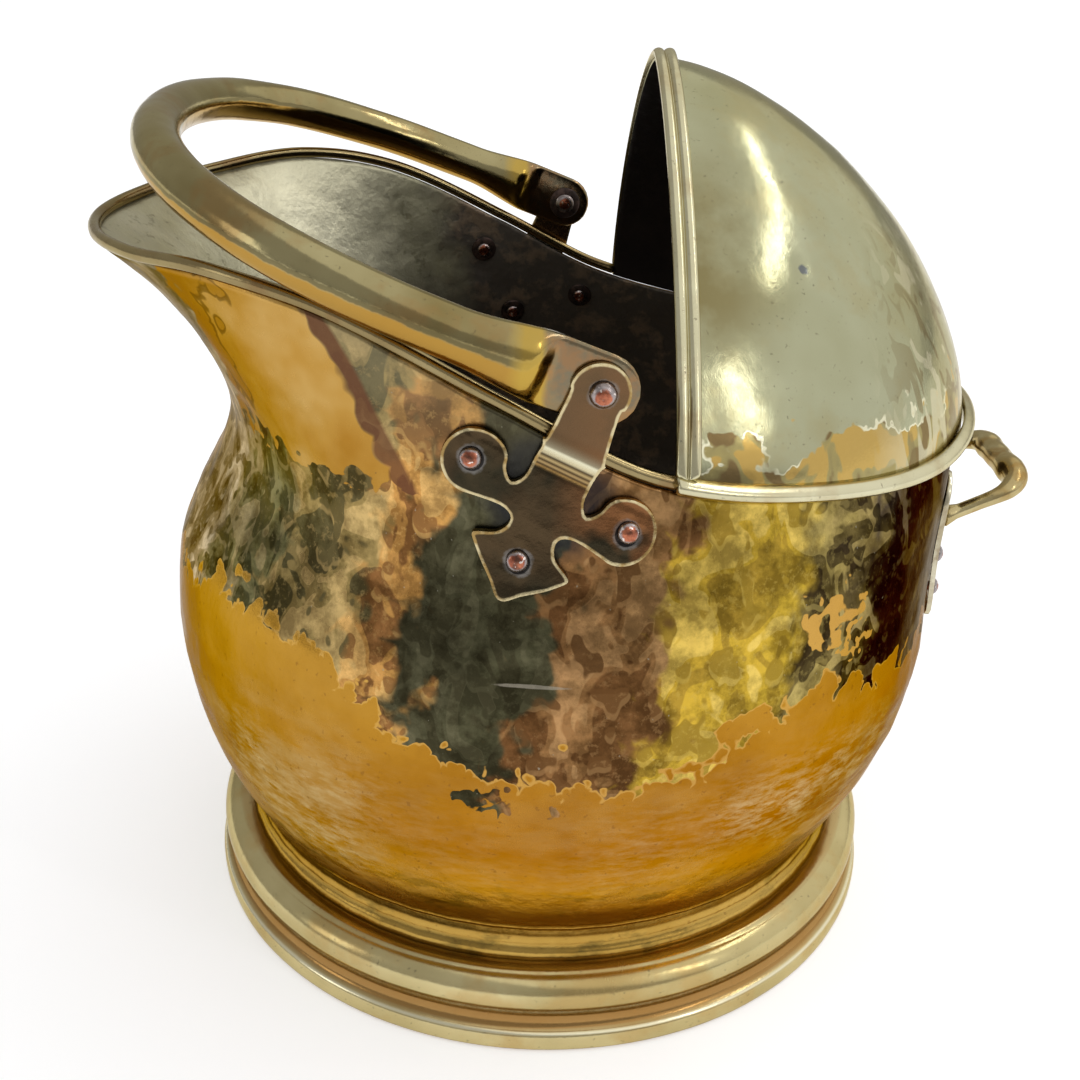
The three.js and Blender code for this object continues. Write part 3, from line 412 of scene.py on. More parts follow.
def body_rows():
    """Every row of the body as points, from the foot up to the rim."""
    angles = [2 * math.pi * j / BODY_AROUND for j in range(BODY_AROUND)]
    # The top edge, as angles round the foot's axis and heights.
    edge = [rim_point(d) for d in np.linspace(0, 360, 1441)]
    edge_angle = np.array([math.atan2(p.y, p.x - FOOT_X) % (2 * math.pi) for p in edge])
    order = np.argsort(edge_angle)
    edge_height = np.array([p.z for p in edge])[order]
    edge_radius = np.array([math.hypot(p.x - FOOT_X, p.y) for p in edge])[order]
    tops = np.interp(angles, edge_angle[order], edge_height, period=2 * math.pi)
    reach = np.interp(angles, edge_angle[order], edge_radius, period=2 * math.pi)
    count = THROAT_ROWS + UPPER_ROWS
    grid = np.zeros((count + 1, BODY_AROUND, 3))
    for j, a in enumerate(angles):
        heights = list(np.linspace(BODY_BOTTOM, THROAT_TOP, THROAT_ROWS, endpoint=False))
        heights += list(np.linspace(THROAT_TOP, tops[j], UPPER_ROWS + 1))
        last = THROAT_RADIUS
        for i, height in enumerate(heights):
            radius = wall_radius(a, min(height, tops[j] - RIM_MARGIN))
            if i == count:
                radius = reach[j]
            if radius is None:
                radius = last
            last = radius
            grid[i, j] = (FOOT_X + radius * math.cos(a), radius * math.sin(a), height)
    return grid


body_grid = body_rows()
# Relax the grid sideways and upwards, but leave its foot and its rim where they are.
for _ in range(10):
    around = (np.roll(body_grid, 1, 1) + np.roll(body_grid, -1, 1)) / 2
    body_grid[THROAT_ROWS:-1] += 0.5 * (around - body_grid)[THROAT_ROWS:-1]
    above = (body_grid[2:] + body_grid[:-2]) / 2
    body_grid[1:-1][THROAT_ROWS:] += 0.4 * (above - body_grid[1:-1])[THROAT_ROWS:]
print("body grid:", body_grid.shape)

# %% [markdown]
# The throat is turned on a lathe: two fine grooves with a ridge between them, just above the
# foot. They are cut into the lowest rows of the grid.

# %% Throat lines and hammered dents
# height, how far in or out, half-width
THROAT_LINES = ((0.0372, 0.0005, 0.0011), (0.0398, -0.0009, 0.0009), (0.0478, -0.0006, 0.0008),
                (0.0500, 0.0007, 0.0010), (0.0523, -0.0006, 0.0008))


def place_on_body(s, t):
    i = round(t * (THROAT_ROWS + UPPER_ROWS))
    j = round(s * BODY_AROUND) % BODY_AROUND
    point = Vector(body_grid[i, j])
    out = Vector((point.x - FOOT_X, point.y, 0)).normalized()
    for height, depth, half in THROAT_LINES:
        near = max(0.0, 1 - ((point.z - height) / half) ** 2)
        point += out * depth * near
    return point


def dent(point, size, depth, seed):
    """Depth of the nearest round hammer mark."""
    distances, _ = noise.voronoi((point + Vector((seed, seed, seed))) / size)
    return depth * max(0.0, 1 - (distances[0] / 0.62) ** 2)


body_sheet = formed("body_sheet", BODY_AROUND, THROAT_ROWS + UPPER_ROWS, place_on_body)
face_away(body_sheet, (FOOT_X, 0, 0.15))
normals = [v.normal.copy() for v in body_sheet.data.vertices]
for corner, normal in zip(body_sheet.data.vertices, normals):
    hammered = share(corner.co.z, 0.07, 0.11)
    marks = dent(corner.co, 0.017, 0.00042, 1.0) + dent(corner.co, 0.029, 0.0004, 5.0)
    swell = noise.noise(corner.co * 14) * 0.0004
    rim_gap = eased(share(corner.co.z, 0.31, 0.29))
    corner.co -= normal * (marks + swell + 0.0003) * hammered * rim_gap
thicken(body_sheet)
dress(body_sheet, BODY, "hammered_brass", "body_shell")

# %% [markdown]
# ## The hood
# The hood is half a dome, soldered over the rear of the mouth. Its base follows the rim and its
# front stands up as a pointed arch. Each rib from the base to the crest is one superellipse
# quarter, so the whole sheet is a grid of two numbers: how far round, and how far up. Long,
# faint waves in the sheet bend its reflections, as hand planishing does.

# %% Hood
HOOD_FRONT_X = FOOT_X + 0.036
HOOD_RISE = 0.1215
SEAM = 0.0003  # gap between sheets that meet
FULL_SIDE, FULL_REAR = 1.42, 1.64  # how square a rib is: 2 would be a circle


def hood_corner():
    """The angle at which the rim passes under the hood's front edge."""
    low, high = 45, 135
    for _ in range(40):
        half = (low + high) / 2
        if rim_point(half).x > HOOD_FRONT_X:
            low = half
        else:
            high = half
    return (low + high) / 2


CORNER = hood_corner()
CREST = Vector((HOOD_FRONT_X, 0, rim_point(CORNER).z + HOOD_RISE))


def hood_point(round_, climb):
    """round_ goes from -1 to 1 round the base, and climb from 0 to 1 up to the crest."""
    base = rim_point(round_ * CORNER) + Vector((0, 0, SEAM))
    fullness = FULL_REAR + (FULL_SIDE - FULL_REAR) * round_**2
    e = math.pi / 2 * min(climb, 1)
    inward = 1 - max(math.cos(e), 0) ** (2 / fullness)
    upward = math.sin(e) ** (2 / fullness)
    return Vector((
        base.x + (CREST.x - base.x) * inward,
        base.y * (1 - inward),
        base.z + (CREST.z - base.z) * upward,
    ))


hood_sheet = formed("hood_sheet", 150, 80, lambda s, t: hood_point(2 * s - 1, t**1.25))
face_away(hood_sheet, (HOOD_FRONT_X, 0, 0.24))
normals = [v.normal.copy() for v in hood_sheet.data.vertices]
DENT_AT = hood_point(-0.66, 0.43)
DENT_DEPTH, DENT_SIZE = 0.0007, 0.0024
for corner, normal in zip(hood_sheet.data.vertices, normals):
    front = min(1, (corner.co.x - HOOD_FRONT_X) / 0.012)
    low = min(1, (corner.co.z - rim_point(0).z) / 0.02)
    wave = noise.noise(corner.co * 22) * 0.0005 + noise.noise(corner.co * 60) * 0.0001
    knock = DENT_DEPTH * math.exp(-((corner.co - DENT_AT).length / DENT_SIZE) ** 2)
    corner.co -= normal * (abs(wave) * front * low + knock)
thicken(hood_sheet)
dress(hood_sheet, BODY, "hood_brass", "hood_shell")

# %% [markdown]
# ## Wire and beads
# The spout's edge is rolled over a wire. The seam under the hood is hidden by a half-round
# moulding, and the hood's front arch carries a double one. All three are one section drawn
# along a line, so one helper sweeps a section: it is given the line as a frame of three vectors,
# and the section as pairs of outward and upward numbers. A swept end is closed to a point.

# %% Sweeping a section
CLOSE = 3  # rows that round off each end


def swept(name, section, stations, frame_at):
    """Draws section(t), a list of pairs, along frame_at(t) = point, out, up."""
    count = len(section(0))

    def place(s, t):
        row = round(t * (stations + 2 * CLOSE))
        inner = min(max(row - CLOSE, 0), stations)
        past = abs(row - CLOSE - inner) / CLOSE
        point, out, up = frame_at(inner / stations)
        shrink = math.sqrt(max(0, 1 - past**2))
        pairs = section(inner / stations)
        a, b = pairs[round(s * count) % count]
        middle_a = sum(p[0] for p in pairs) / count
        middle_b = sum(p[1] for p in pairs) / count
        a = middle_a + (a - middle_a) * shrink
        b = middle_b + (b - middle_b) * shrink
        along = out.cross(up)
        if (frame_at(min(1, inner / stations + 0.01))[0] - point).dot(along) < 0:
            along = -along
        if inner == stations:
            along = -along if (frame_at(0.99)[0] - point).dot(along) > 0 else along
        size = max(abs(a_ - middle_a) for a_, _ in pairs)
        direction = -1 if row < CLOSE else 1
        return point + out * a + up * b + along * past * direction * size * 0.5

    return formed(name, count, stations + 2 * CLOSE, place)


# %% [markdown]
# The wire runs from one corner of the hood, round the spout, to the other.

# %% Rim wire
WIRE_RADIUS = 0.0024
WIRE_RISE = WIRE_RADIUS + 0.0006
WIRE_IN = 0.0003  # so that its unevenness stays inside the solid's box
WALL = 0.0015  # the solid's wall at the rim
# The wire starts 0.6 mm past the hood's corner, where the rim is 144 mm from its centre.
wire_start = CORNER + math.degrees(0.0006 / 0.144)


def ring_section(radius, count=20):
    """A round section, as pairs of outward and upward numbers."""
    return [
        (radius * math.cos(2 * math.pi * k / count), radius * math.sin(2 * math.pi * k / count))
        for k in range(count)
    ]


def wire_frame(t):
    degrees = wire_start + (360 - 2 * wire_start) * t
    along, out = rim_heading(degrees)
    centre = rim_point(degrees) - out * (WALL / 2 + WIRE_IN) + Vector((0, 0, WIRE_RISE))
    return centre, out, out.cross(along).normalized()


rim_wire = swept("rim_wire", lambda t: ring_section(WIRE_RADIUS), 260, wire_frame)
for corner in rim_wire.data.vertices:
    corner.co += Vector((0, 0, 0.0002 * noise.noise(corner.co * 40)))
dress(rim_wire, BODY, "smooth_brass", "spout_rim_wire")

# %% [markdown]
# The moulding under the hood is half round and follows the rim at the rear.

# %% Base moulding of the hood
BEAD_OUT, BEAD_REACH, BEAD_HALF_HEIGHT = 0.0006, 0.0046, 0.0032
HALF_ROUND = [(math.cos(math.radians(a)), math.sin(math.radians(a))) for a in range(-90, 91, 10)]


def base_bead_frame(t):
    degrees = -CORNER + 2 * CORNER * t
    along, out = rim_heading(degrees)
    up = Vector((0, 0, 1))
    return rim_point(degrees) + out * BEAD_OUT + up * WIRE_RISE, out, up


base_bead = swept(
    "hood_base_moulding",
    lambda t: [(c * BEAD_REACH, s * BEAD_HALF_HEIGHT) for c, s in HALF_ROUND], 160,
    base_bead_frame,
)
dress(base_bead, BODY, "smooth_brass", "hood_base_bead")

# %% [markdown]
# The front moulding is two small rolls side by side, up one side of the arch and down the other.

# %% Front moulding of the hood
FRONT_WIDTH = 0.0085
FRONT_HEIGHT = 0.0026
front_section = [(0.0, 0.1)]
for first in (0, 0.5):
    for a in range(20, 161, 14):
        front_section.append((first + 0.25 - 0.25 * math.cos(math.radians(a)),
                              0.35 + 0.65 * math.sin(math.radians(a))))
front_section.append((1.0, 0.1))


def front_bead_frame(t):
    side = -1 if t < 0.5 else 1
    climb = 0.075 + 0.925 * (1 - abs(2 * t - 1)) ** 0.9
    edge = hood_point(side, climb)
    ahead = hood_point(side, min(climb + 0.01, 1)) - hood_point(side, min(climb + 0.01, 1) - 0.02)
    out = Vector((0, side * abs(ahead.z), abs(ahead.y))).normalized()
    if climb > 0.985:
        out = out.lerp(Vector((0, 0, 1)), (climb - 0.985) / 0.015).normalized()
    return edge + out * 0.0006, Vector((1, 0, 0)), out


front_bead = swept(
    "hood_front_moulding",
    lambda t: [(a * FRONT_WIDTH - 0.001, b * FRONT_HEIGHT) for a, b in front_section], 120,
    front_bead_frame,
)
dress(front_bead, BODY, "smooth_brass", "hood_front_bead")

# %% [markdown]
# ## The bail
# The bail is a bent tube whose ends were hammered flat and drilled. Its line is a straight lug, one
# long bend up to the middle of the bar, and the same back. The section goes from a flat
# oval at the lug to a full round, which gives the scooped shoulder where the tube was flattened.

# %% Bail
PIVOT = Vector((FOOT_X + 0.0095, 0, 0.2745))
REST_ANGLE = math.radians(20.8)
EAR_INNER_Y = rim_point(90).y + WIRE_RADIUS + 2 * SEAM
LUG_THICKNESS = 0.0038
LUG_MIDDLE_Y = EAR_INNER_Y - 1.5 * SEAM - LUG_THICKNESS / 2
LUG_LENGTH = 0.018
LUG_HALF_WIDTH = 0.0122
FLAT_END, SCOOP_END, FLARE_END = 0.0175, 0.0255, 0.05  # from the pivot, along the tube
BAIL_RADIUS = 0.0088
BAIL_ROWS, BAIL_SIDES, END_ROWS = 240, 32, 6
BAIL_UP = Vector((math.sin(REST_ANGLE), 0, math.cos(REST_ANGLE)))


def bail_at(reach, y):
    """A point in the bail's plane at rest, by its distance from the hinge line."""
    return Vector((
        PIVOT.x - reach * math.cos(REST_ANGLE), y, PIVOT.z + reach * math.sin(REST_ANGLE),
    ))


def bezier(a, b, c, d, t):
    return a * (1 - t) ** 3 + b * 3 * t * (1 - t) ** 2 + c * 3 * t**2 * (1 - t) + d * t**3


def bail_line():
    """Points along the bail, evenly spaced, from the near pivot to the far one."""
    points = []
    for side in (-1, 1):
        lug = bail_at(LUG_LENGTH, side * LUG_MIDDLE_Y)
        bends = (lug, bail_at(0.114, side * (LUG_MIDDLE_Y + 0.010)),
                 bail_at(0.172, side * 0.097), bail_at(0.172, 0))
        arm = [bail_at(0, side * LUG_MIDDLE_Y).lerp(lug, k / 20) for k in range(20)]
        arm += [bezier(*bends, k / 200) for k in range(201)]
        points += arm if side < 0 else arm[::-1][1:]
    return evenly(np.array([p[:] for p in points]), BAIL_ROWS + 1)


bail_points, bail_length = bail_line()


def bail_place(s, t):
    """The tube's surface: flat at the lugs, and round from the scoop on."""
    row = round(t * (BAIL_ROWS + 2 * END_ROWS))
    i = min(max(row - END_ROWS, 0), BAIL_ROWS)
    past = abs(row - END_ROWS - i) / END_ROWS
    centre = Vector(bail_points[i])
    near = Vector(bail_points[max(i - 1, 0)])
    far = Vector(bail_points[min(i + 1, BAIL_ROWS)])
    tangent = (far - near).normalized()
    beyond = math.sin(past * math.pi / 2)
    centre += tangent * beyond * LUG_HALF_WIDTH * (-1 if row < END_ROWS else 1)
    from_end = min(i, BAIL_ROWS - i) / BAIL_ROWS * bail_length
    wide = eased(share(from_end, FLAT_END, FLARE_END))
    full = eased(share(from_end, FLAT_END, SCOOP_END))
    tall = LUG_HALF_WIDTH * math.sqrt(max(0, 1 - beyond**2))
    tall += (BAIL_RADIUS - tall) * wide
    thick = LUG_THICKNESS / 2 + (BAIL_RADIUS - LUG_THICKNESS / 2) * full
    if past == 1:
        thick = 0
    a = 2 * math.pi * (round(s * BAIL_SIDES) % BAIL_SIDES) / BAIL_SIDES
    c = math.copysign(abs(math.cos(a)) ** (0.35 + 0.65 * full), math.cos(a))
    across = tangent.cross(BAIL_UP).normalized()
    return centre + across * c * thick + BAIL_UP * math.sin(a) * tall


bail_tube = formed("bail_tube", BAIL_SIDES, BAIL_ROWS + 2 * END_ROWS, bail_place)
for corner in bail_tube.data.vertices:
    corner.co += Vector((0, 0, 1)) * noise.noise(corner.co * 35) * 0.0003
# How far each part of the tube faces down at rest, for the painted reflection and shade on its
# underside.
store(bail_tube, "faces_down", lambda corner: -corner.normal.z)
dress(bail_tube, BAIL_BODY, "smooth_brass", "bail")

# %% [markdown]
# ## The foot
# The foot is spun brass: a broad roll above, a narrow hollow, and a smaller roll on the floor.
# Its section is a ring of points, made from a circle, and the spin tool turns it round the
# axis. Thin steps between the rolls catch the light as they do on the real one.

# %% Foot
FOOT_TURNS = 144
FOOT_HEIGHT = 0.034


def arc(centre_r, centre_z, radius, start, end, steps):
    return [
        (centre_r + radius * math.cos(math.radians(start + (end - start) * k / steps)),
         centre_z + radius * math.sin(math.radians(start + (end - start) * k / steps)))
        for k in range(steps + 1)
    ]


def turned(name, section, steps, axis_x=0.0):
    """Spins a closed section of (radius, height) pairs round an upright axis."""
    bpy.ops.object.select_all(action="DESELECT")
    bpy.ops.mesh.primitive_circle_add(vertices=len(section), radius=1, fill_type="NOTHING")
    piece = bpy.context.object
    piece.name = name
    for corner, (r, z) in zip(piece.data.vertices, section):
        corner.co = Vector((axis_x + r, 0, z))
    bpy.ops.object.mode_set(mode="EDIT")
    bpy.ops.mesh.select_all(action="SELECT")
    bpy.ops.mesh.spin(
        steps=steps, angle=2 * math.pi, center=(axis_x, 0, 0), axis=(0, 0, 1), dupli=False,
    )
    bpy.ops.object.mode_set(mode="OBJECT")
    seal(piece, merge=2e-6)
    bpy.ops.object.shade_smooth_by_angle(angle=math.radians(50))
    return piece


foot_section = (
    [(0.139, 0.0), (0.1503, 0.0), (0.1523, 0.0004), (0.1535, 0.0015), (0.1540, 0.0032),
     (0.1540, 0.0060), (0.1536, 0.0080), (0.1529, 0.0091), (0.1520, 0.0095), (0.1508, 0.0100),
     (0.1499, 0.0111), (0.1493, 0.0128), (0.1491, 0.0146), (0.1493, 0.0160), (0.1499, 0.0168)]
    + arc(0.143, 0.024, 0.009, -40, 78, 16)
    + [(0.1444, 0.0333), (0.1430, 0.0338), (0.140, 0.034), (0.122, 0.034), (0.122, 0.032),
       (0.142, 0.031)]
    + arc(0.143, 0.024, 0.007, 60, -30, 6)
    + [(0.1478, 0.016), (0.1478, 0.012), (0.1505, 0.007), (0.1512, 0.004), (0.1500, 0.002)]
    + [(0.139, 0.002)]
)
foot = turned("rolled_foot", foot_section, FOOT_TURNS, FOOT_X)
for corner in foot.data.vertices:
    if corner.co.z > 0.001:
        push = noise.noise(corner.co * 30) * 0.0002
        out = Vector((corner.co.x - FOOT_X, corner.co.y, 0)).normalized()
        corner.co -= out * abs(push)
dress(foot, BODY, "smooth_brass", "foot_ring")

# %% [markdown]
# ## The side brackets
# Each bracket is cut from plate: a round ear for the pivot, two lobes and a pointed tail, with a
# step, or joggle, where it climbs over the rim. Its outline is drawn flat, filled and cut into a
# net with bisect. The net gets its thickness and its rounded edges, and is then bent onto
# the wall. The fine grooves across the joggle are pressed in the same step.

# %% Bracket outline
LEAN = math.radians(25)
BRACKET_CENTRE = Vector((FOOT_X - 0.0062, 0, 0.2386))
PLATE_GAP = 0.0005
BRACKET_THICKNESS = 0.0022
JOGGLE = (0.009, 0.017)  # where the plate's step starts and ends, up from its middle
GROOVES_UP = (0.0088, 0.0108, 0.0129)
GROOVE_DEPTH, GROOVE_HALF = 0.0004, 0.0006


def bracket_xz(across, up):
    """Turns a place on the leaning plate into x and z."""
    return (BRACKET_CENTRE.x + across * math.cos(LEAN) + up * math.sin(LEAN),
            BRACKET_CENTRE.z - across * math.sin(LEAN) + up * math.cos(LEAN))


lean_x, lean_z = PIVOT.x - BRACKET_CENTRE.x, PIVOT.z - BRACKET_CENTRE.z
pivot_across = lean_x * math.cos(LEAN) - lean_z * math.sin(LEAN)
pivot_up = lean_x * math.sin(LEAN) + lean_z * math.cos(LEAN)


def bracket_outline():
    """The outline as a smooth closed line through its corners, in metres."""
    half = [(10.2, 19.5), (11.2, 17.6), (10.4, 15.6), (10.3, 9.5), (10.6, 3.2), (13.6, -0.4),
            (17, 2.6)]
    half += [(a * 1000, b * 1000) for a, b in arc(0.027, 0, 0.011, 140, -112, 10)]
    half += [(13.8, -9.0), (9.2, -10.4), (8.4, -13.6), (10.8, -17.8), (16.4, -20.8),
             (17.4, -22.2), (16.2, -24.0), (11.5, -28.6)]
    tail = [(5.5, -33.6), (1.6, -37.4), (-1.6, -37.4), (-5.5, -33.6)]
    ear = arc(pivot_across - 0.0008, pivot_up, 0.0098, 206, -26, 16)
    ear = [(a * 1000, b * 1000) for a, b in ear]
    corners = ear + half + tail + [(-a, b) for a, b in half[::-1]]
    corners = np.array(corners) / 1000
    line = []
    count = len(corners)
    for i in range(count):
        p0, p1, p2, p3 = (corners[(i + k) % count] for k in (-1, 0, 1, 2))
        for t in (0, 1 / 3, 2 / 3):
            line.append(0.5 * (2 * p1 + (p2 - p0) * t + (2 * p0 - 5 * p1 + 4 * p2 - p3) * t**2
                               + (3 * p1 - p0 - 3 * p2 + p3) * t**3))
    return line


outline = bracket_outline()
print("bracket outline points:", len(outline))

# %% [markdown]
# The flat plate is then bent: its lower part follows the wall, its step climbs over the rim, and
# its ear stands upright beside the bail's lug. The far plate is the same cutting, mirrored.

# %% Bracket plates
def wall_near(x, z):
    """Distance of the wall from the middle plane, sampled round rivet holes and the rim."""
    values = []
    for dx, dz in ((0, 0), (0.004, 0), (-0.004, 0), (0, 0.004), (0, -0.004)):
        hit = body_tree.ray_cast(Vector((x + dx, 0.4, z + dz)), Vector((0, -1, 0)))[0]
        if hit is not None and hit.y > 0.1:
            values.append(hit.y)
    return float(np.median(values)) if values else wall_near(x, z - 0.004)


def bracket_inner_y(across, up):
    """Where the plate's inner face lies, from the wall up to the ear."""
    low = min(up, JOGGLE[0])
    y = wall_near(*bracket_xz(across, low))
    climbed = eased(share(up, *JOGGLE))
    return (y + PLATE_GAP * 1.1) * (1 - climbed) + EAR_INNER_Y * climbed


def flat_plate(name, line, thickness, net, bevel):
    """A filled outline, cut into a net, thickened and given round edges, lying flat."""
    bpy.ops.object.select_all(action="DESELECT")
    bpy.ops.mesh.primitive_circle_add(vertices=len(line), radius=1, fill_type="NGON")
    piece = bpy.context.object
    piece.name = name
    for corner, (a, b) in zip(piece.data.vertices, line):
        corner.co = Vector((a, b, 0))
    bpy.ops.object.mode_set(mode="EDIT")
    low = np.min(line, axis=0)
    high = np.max(line, axis=0)
    for axis, normal in ((0, (1, 0, 0)), (1, (0, 1, 0))):
        cut = low[axis] + net
        while cut < high[axis] - net / 2:
            bpy.ops.mesh.select_all(action="SELECT")
            place = (cut, 0, 0) if axis == 0 else (0, cut, 0)
            bpy.ops.mesh.bisect(plane_co=place, plane_no=normal)
            cut += net
    bpy.ops.mesh.select_all(action="SELECT")
    bpy.ops.mesh.normals_make_consistent(inside=False)
    bpy.ops.object.mode_set(mode="OBJECT")
    if piece.data.polygons[0].normal.z < 0:
        piece.data.flip_normals()
    wall = piece.modifiers.new("plate", "SOLIDIFY")
    wall.thickness = thickness
    wall.offset = -1
    soften(piece, bevel, segments=3, degrees=60)
    apply_all(piece)
    for corner in piece.data.vertices:
        corner.co.z += thickness
    return piece


flat_bracket = flat_plate("bracket_plate_near", outline, BRACKET_THICKNESS, 0.0011, 0.0008)
# Each corner keeps its distance from the outline, in mm, so that the finish can find the edge.
ring = np.array(outline + outline[:1])
start, run = ring[:-1], np.diff(ring, axis=0)


def from_outline(corner):
    to = np.array(corner.co[:2]) - start
    t = np.clip((to * run).sum(1) / (run**2).sum(1), 0, 1)[:, None]
    return float(np.linalg.norm(to - run * t, axis=1).min()) * 1000


store(flat_bracket, "from_edge", from_outline)
# Two more numbers: how far up the plate, and how far from the nearest rivet, both in mm.
RIVETS_AT = ((-0.0282, 0.0005), (0.0282, 0.0), (0.0, -0.0236), (pivot_across, pivot_up))
store(flat_bracket, "up_plate", lambda corner: corner.co.y * 1000)
store(flat_bracket, "from_rivet", lambda corner: 1000 * min(
    math.hypot(corner.co.x - a, corner.co.y - b) for a, b in RIVETS_AT))
bracket_plates = {"near": flat_bracket, "far": own_copy(flat_bracket, "bracket_plate_far")}
for side_name, side in (("near", -1), ("far", 1)):
    plate = bracket_plates[side_name]
    for corner in plate.data.vertices:
        across, up, deep = corner.co
        inner = bracket_inner_y(across, up)
        outer = deep / BRACKET_THICKNESS
        groove = GROOVE_DEPTH * sum(
            math.exp(-(((up - line_up) / GROOVE_HALF) ** 2)) for line_up in GROOVES_UP)
        rough = 0.00012 * noise.noise(Vector((across * 90, up * 90, side)))
        y = inner + deep - outer * groove + outer * rough
        x, z = bracket_xz(across, up)
        corner.co = Vector((x, side * y, z))
    seal(plate, merge=1e-6)
    bpy.ops.object.shade_smooth_by_angle(angle=math.radians(45))
    dress(plate, BODY, "plate_brass", f"bracket_{side_name}")

# %% [markdown]
# ## Rivets and washers
# Every rivet is the same copper one, closed by hand: a low dome with a flat knocked on its top.
# One rivet is turned with spin, then copied to each place. The solids tell where each one goes:
# the axis of a round solid is the direction in which its corners spread differently from the
# other two.

# %% Rivet and washer patterns
def axis_of(node):
    """Centre line of a round solid, as its outer end and its outward direction."""
    points = np.array([v.co[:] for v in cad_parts[node].data.vertices])
    points = np.unique(points.round(7), axis=0)
    centre = points.mean(0)
    spread, directions = np.linalg.eigh(np.cov((points - centre).T))
    odd = 2 if spread[2] - spread[1] > spread[1] - spread[0] else 0
    axis = directions[:, odd]
    if axis @ np.array([centre[0] - FOOT_X, centre[1], 0]) < 0:
        axis = -axis
    along = (points - centre) @ axis
    return Vector(centre + axis * along.max()), Vector(axis), float(along.max() - along.min())


def rivet_section(radius, height, shank, grip, end_radius, end_height):
    """Closed section of a rivet, its top at 0 and its end below."""
    dome = [(0.00001, 0.0), (radius * 0.34, -height * 0.015)]
    dome += [(radius * math.sin(math.radians(a)) ** 0.9, -height * (1 - math.cos(math.radians(a))))
             for a in (34, 46, 58, 70, 80)]
    dome += [(radius, -height * 0.93), (radius * 0.985, -height)]
    foot_z = -height - grip
    return dome + [
        (shank, -height), (shank, foot_z), (end_radius, foot_z),
        (end_radius, foot_z - end_height * 0.4), (end_radius * 0.7, foot_z - end_height),
        (0.00001, foot_z - end_height),
    ]


def set_on_axis(pattern, node, name):
    """Copies a turned pattern to the outer end of a round solid's axis."""
    end, axis, _ = axis_of(node)
    piece = own_copy(pattern, name)
    turn = Vector((0, 0, 1)).rotation_difference(axis).to_matrix().to_4x4()
    piece.data.transform(Matrix.Translation(end) @ turn @ Matrix.Rotation(end.x * 90, 4, "Z"))
    for corner in piece.data.vertices:
        corner.co += Vector((1, 1, 1)) * 0.00012 * noise.noise(corner.co * 320)
    dress(piece, BODY, "copper", node)
    return piece


def washer_section(hole, radius, thickness):
    soft = thickness * 0.3
    return [(hole, 0), (radius - soft, 0), (radius, -soft), (radius, -thickness + soft),
            (radius - soft, -thickness), (hole, -thickness)]


# From the plate's face to the far side of the washer: plate, gap, wall, gap and washer.
ROVE_DEPTH = BRACKET_THICKNESS + PLATE_GAP + WALL + 0.0006 + 0.0012
plate_rivet = turned("rivet_pattern", rivet_section(
    radius=0.0038, height=0.0026, shank=0.002, grip=ROVE_DEPTH + 0.0006, end_radius=0.0033,
    end_height=0.0014), 32)
PIVOT_HEAD, PIVOT_END = 0.0034, 0.0017  # heights of the hinge rivet's head and of its end
pivot_grip = axis_of("bail_pivot_rivet_near")[2] - PIVOT_HEAD - PIVOT_END
pivot_rivet = turned("pivot_rivet_pattern", rivet_section(
    radius=0.0045, height=PIVOT_HEAD, shank=0.0027, grip=pivot_grip, end_radius=0.0045,
    end_height=PIVOT_END), 36)
rove = turned("rove_pattern", washer_section(hole=0.0023, radius=0.0062, thickness=0.0012), 32)
pivot_washer = turned(
    "pivot_washer_pattern", washer_section(hole=0.003, radius=0.0075, thickness=0.0012), 36)
print("patterns made, the hinge rivet's grip is", pivot_grip)

# %% [markdown]
# Each solid rivet or washer gives its place to a copy of its pattern, turned by a chance amount.

# %% Rivets in place
for pattern in (plate_rivet, pivot_rivet):
    # Every corner keeps its distance from the rivet's axis, in mm, for the finish.
    store(pattern, "from_axis", lambda corner: 1000 * math.hypot(corner.co.x, corner.co.y))
# A word in the solid's name, the pattern that it takes, and the new piece's ending.
PATTERNS = (
    ("pivot_rivet", pivot_rivet, "_head"), ("pivot_washer", pivot_washer, "_disc"),
    ("_rivet_", plate_rivet, "_head"), ("_rove_", rove, "_disc"),
)
rivet_heads, washer_discs = [], []
for node in sorted(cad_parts):
    for word, pattern, ending in PATTERNS:
        if word in node:
            piece = set_on_axis(pattern, node, node + ending)
            (rivet_heads if ending == "_head" else washer_discs).append(piece)
            break
for _, pattern, _ in PATTERNS:
    bpy.data.objects.remove(pattern)
print("rivets:", len(rivet_heads), "washers:", len(washer_discs))

# %% [markdown]
# ## The tipping grip
# The grip behind is cast in one: two legs that rise a little as they leave the wall, and a bar that
# swells thicker than the legs. It is swept along its line with a round section whose size changes.
# The two plates under it are softened copies of their solids.

# %% Grip
GRIP_HALF_SPAN = 0.030
GRIP_REACH = 0.0309
GRIP_RISE = 0.0145
GRIP_CORNER = 0.014
GRIP_START_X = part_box("rear_grip")[0][0]
GRIP_SEAT = 0.1805
GRIP_ROWS = 120


def grip_line():
    """Points along the grip, evenly spaced, from the near foot to the far one."""
    slope = GRIP_RISE / GRIP_REACH

    def at(out, y):
        return np.array([GRIP_START_X + out, y, GRIP_SEAT + slope * out])

    line = [at((GRIP_REACH - GRIP_CORNER) * k / 24, -GRIP_HALF_SPAN) for k in range(24)]
    for k in range(21):
        t = k / 20
        line.append(at(GRIP_REACH - GRIP_CORNER, -GRIP_HALF_SPAN) * (1 - t) ** 2
                    + at(GRIP_REACH, -GRIP_HALF_SPAN) * 2 * t * (1 - t)
                    + at(GRIP_REACH, GRIP_CORNER - GRIP_HALF_SPAN) * t**2)
    mirrored = [p * np.array([1, -1, 1]) for p in line[::-1]]
    return evenly(np.array(line + mirrored), GRIP_ROWS + 1)


grip_points, grip_length = grip_line()


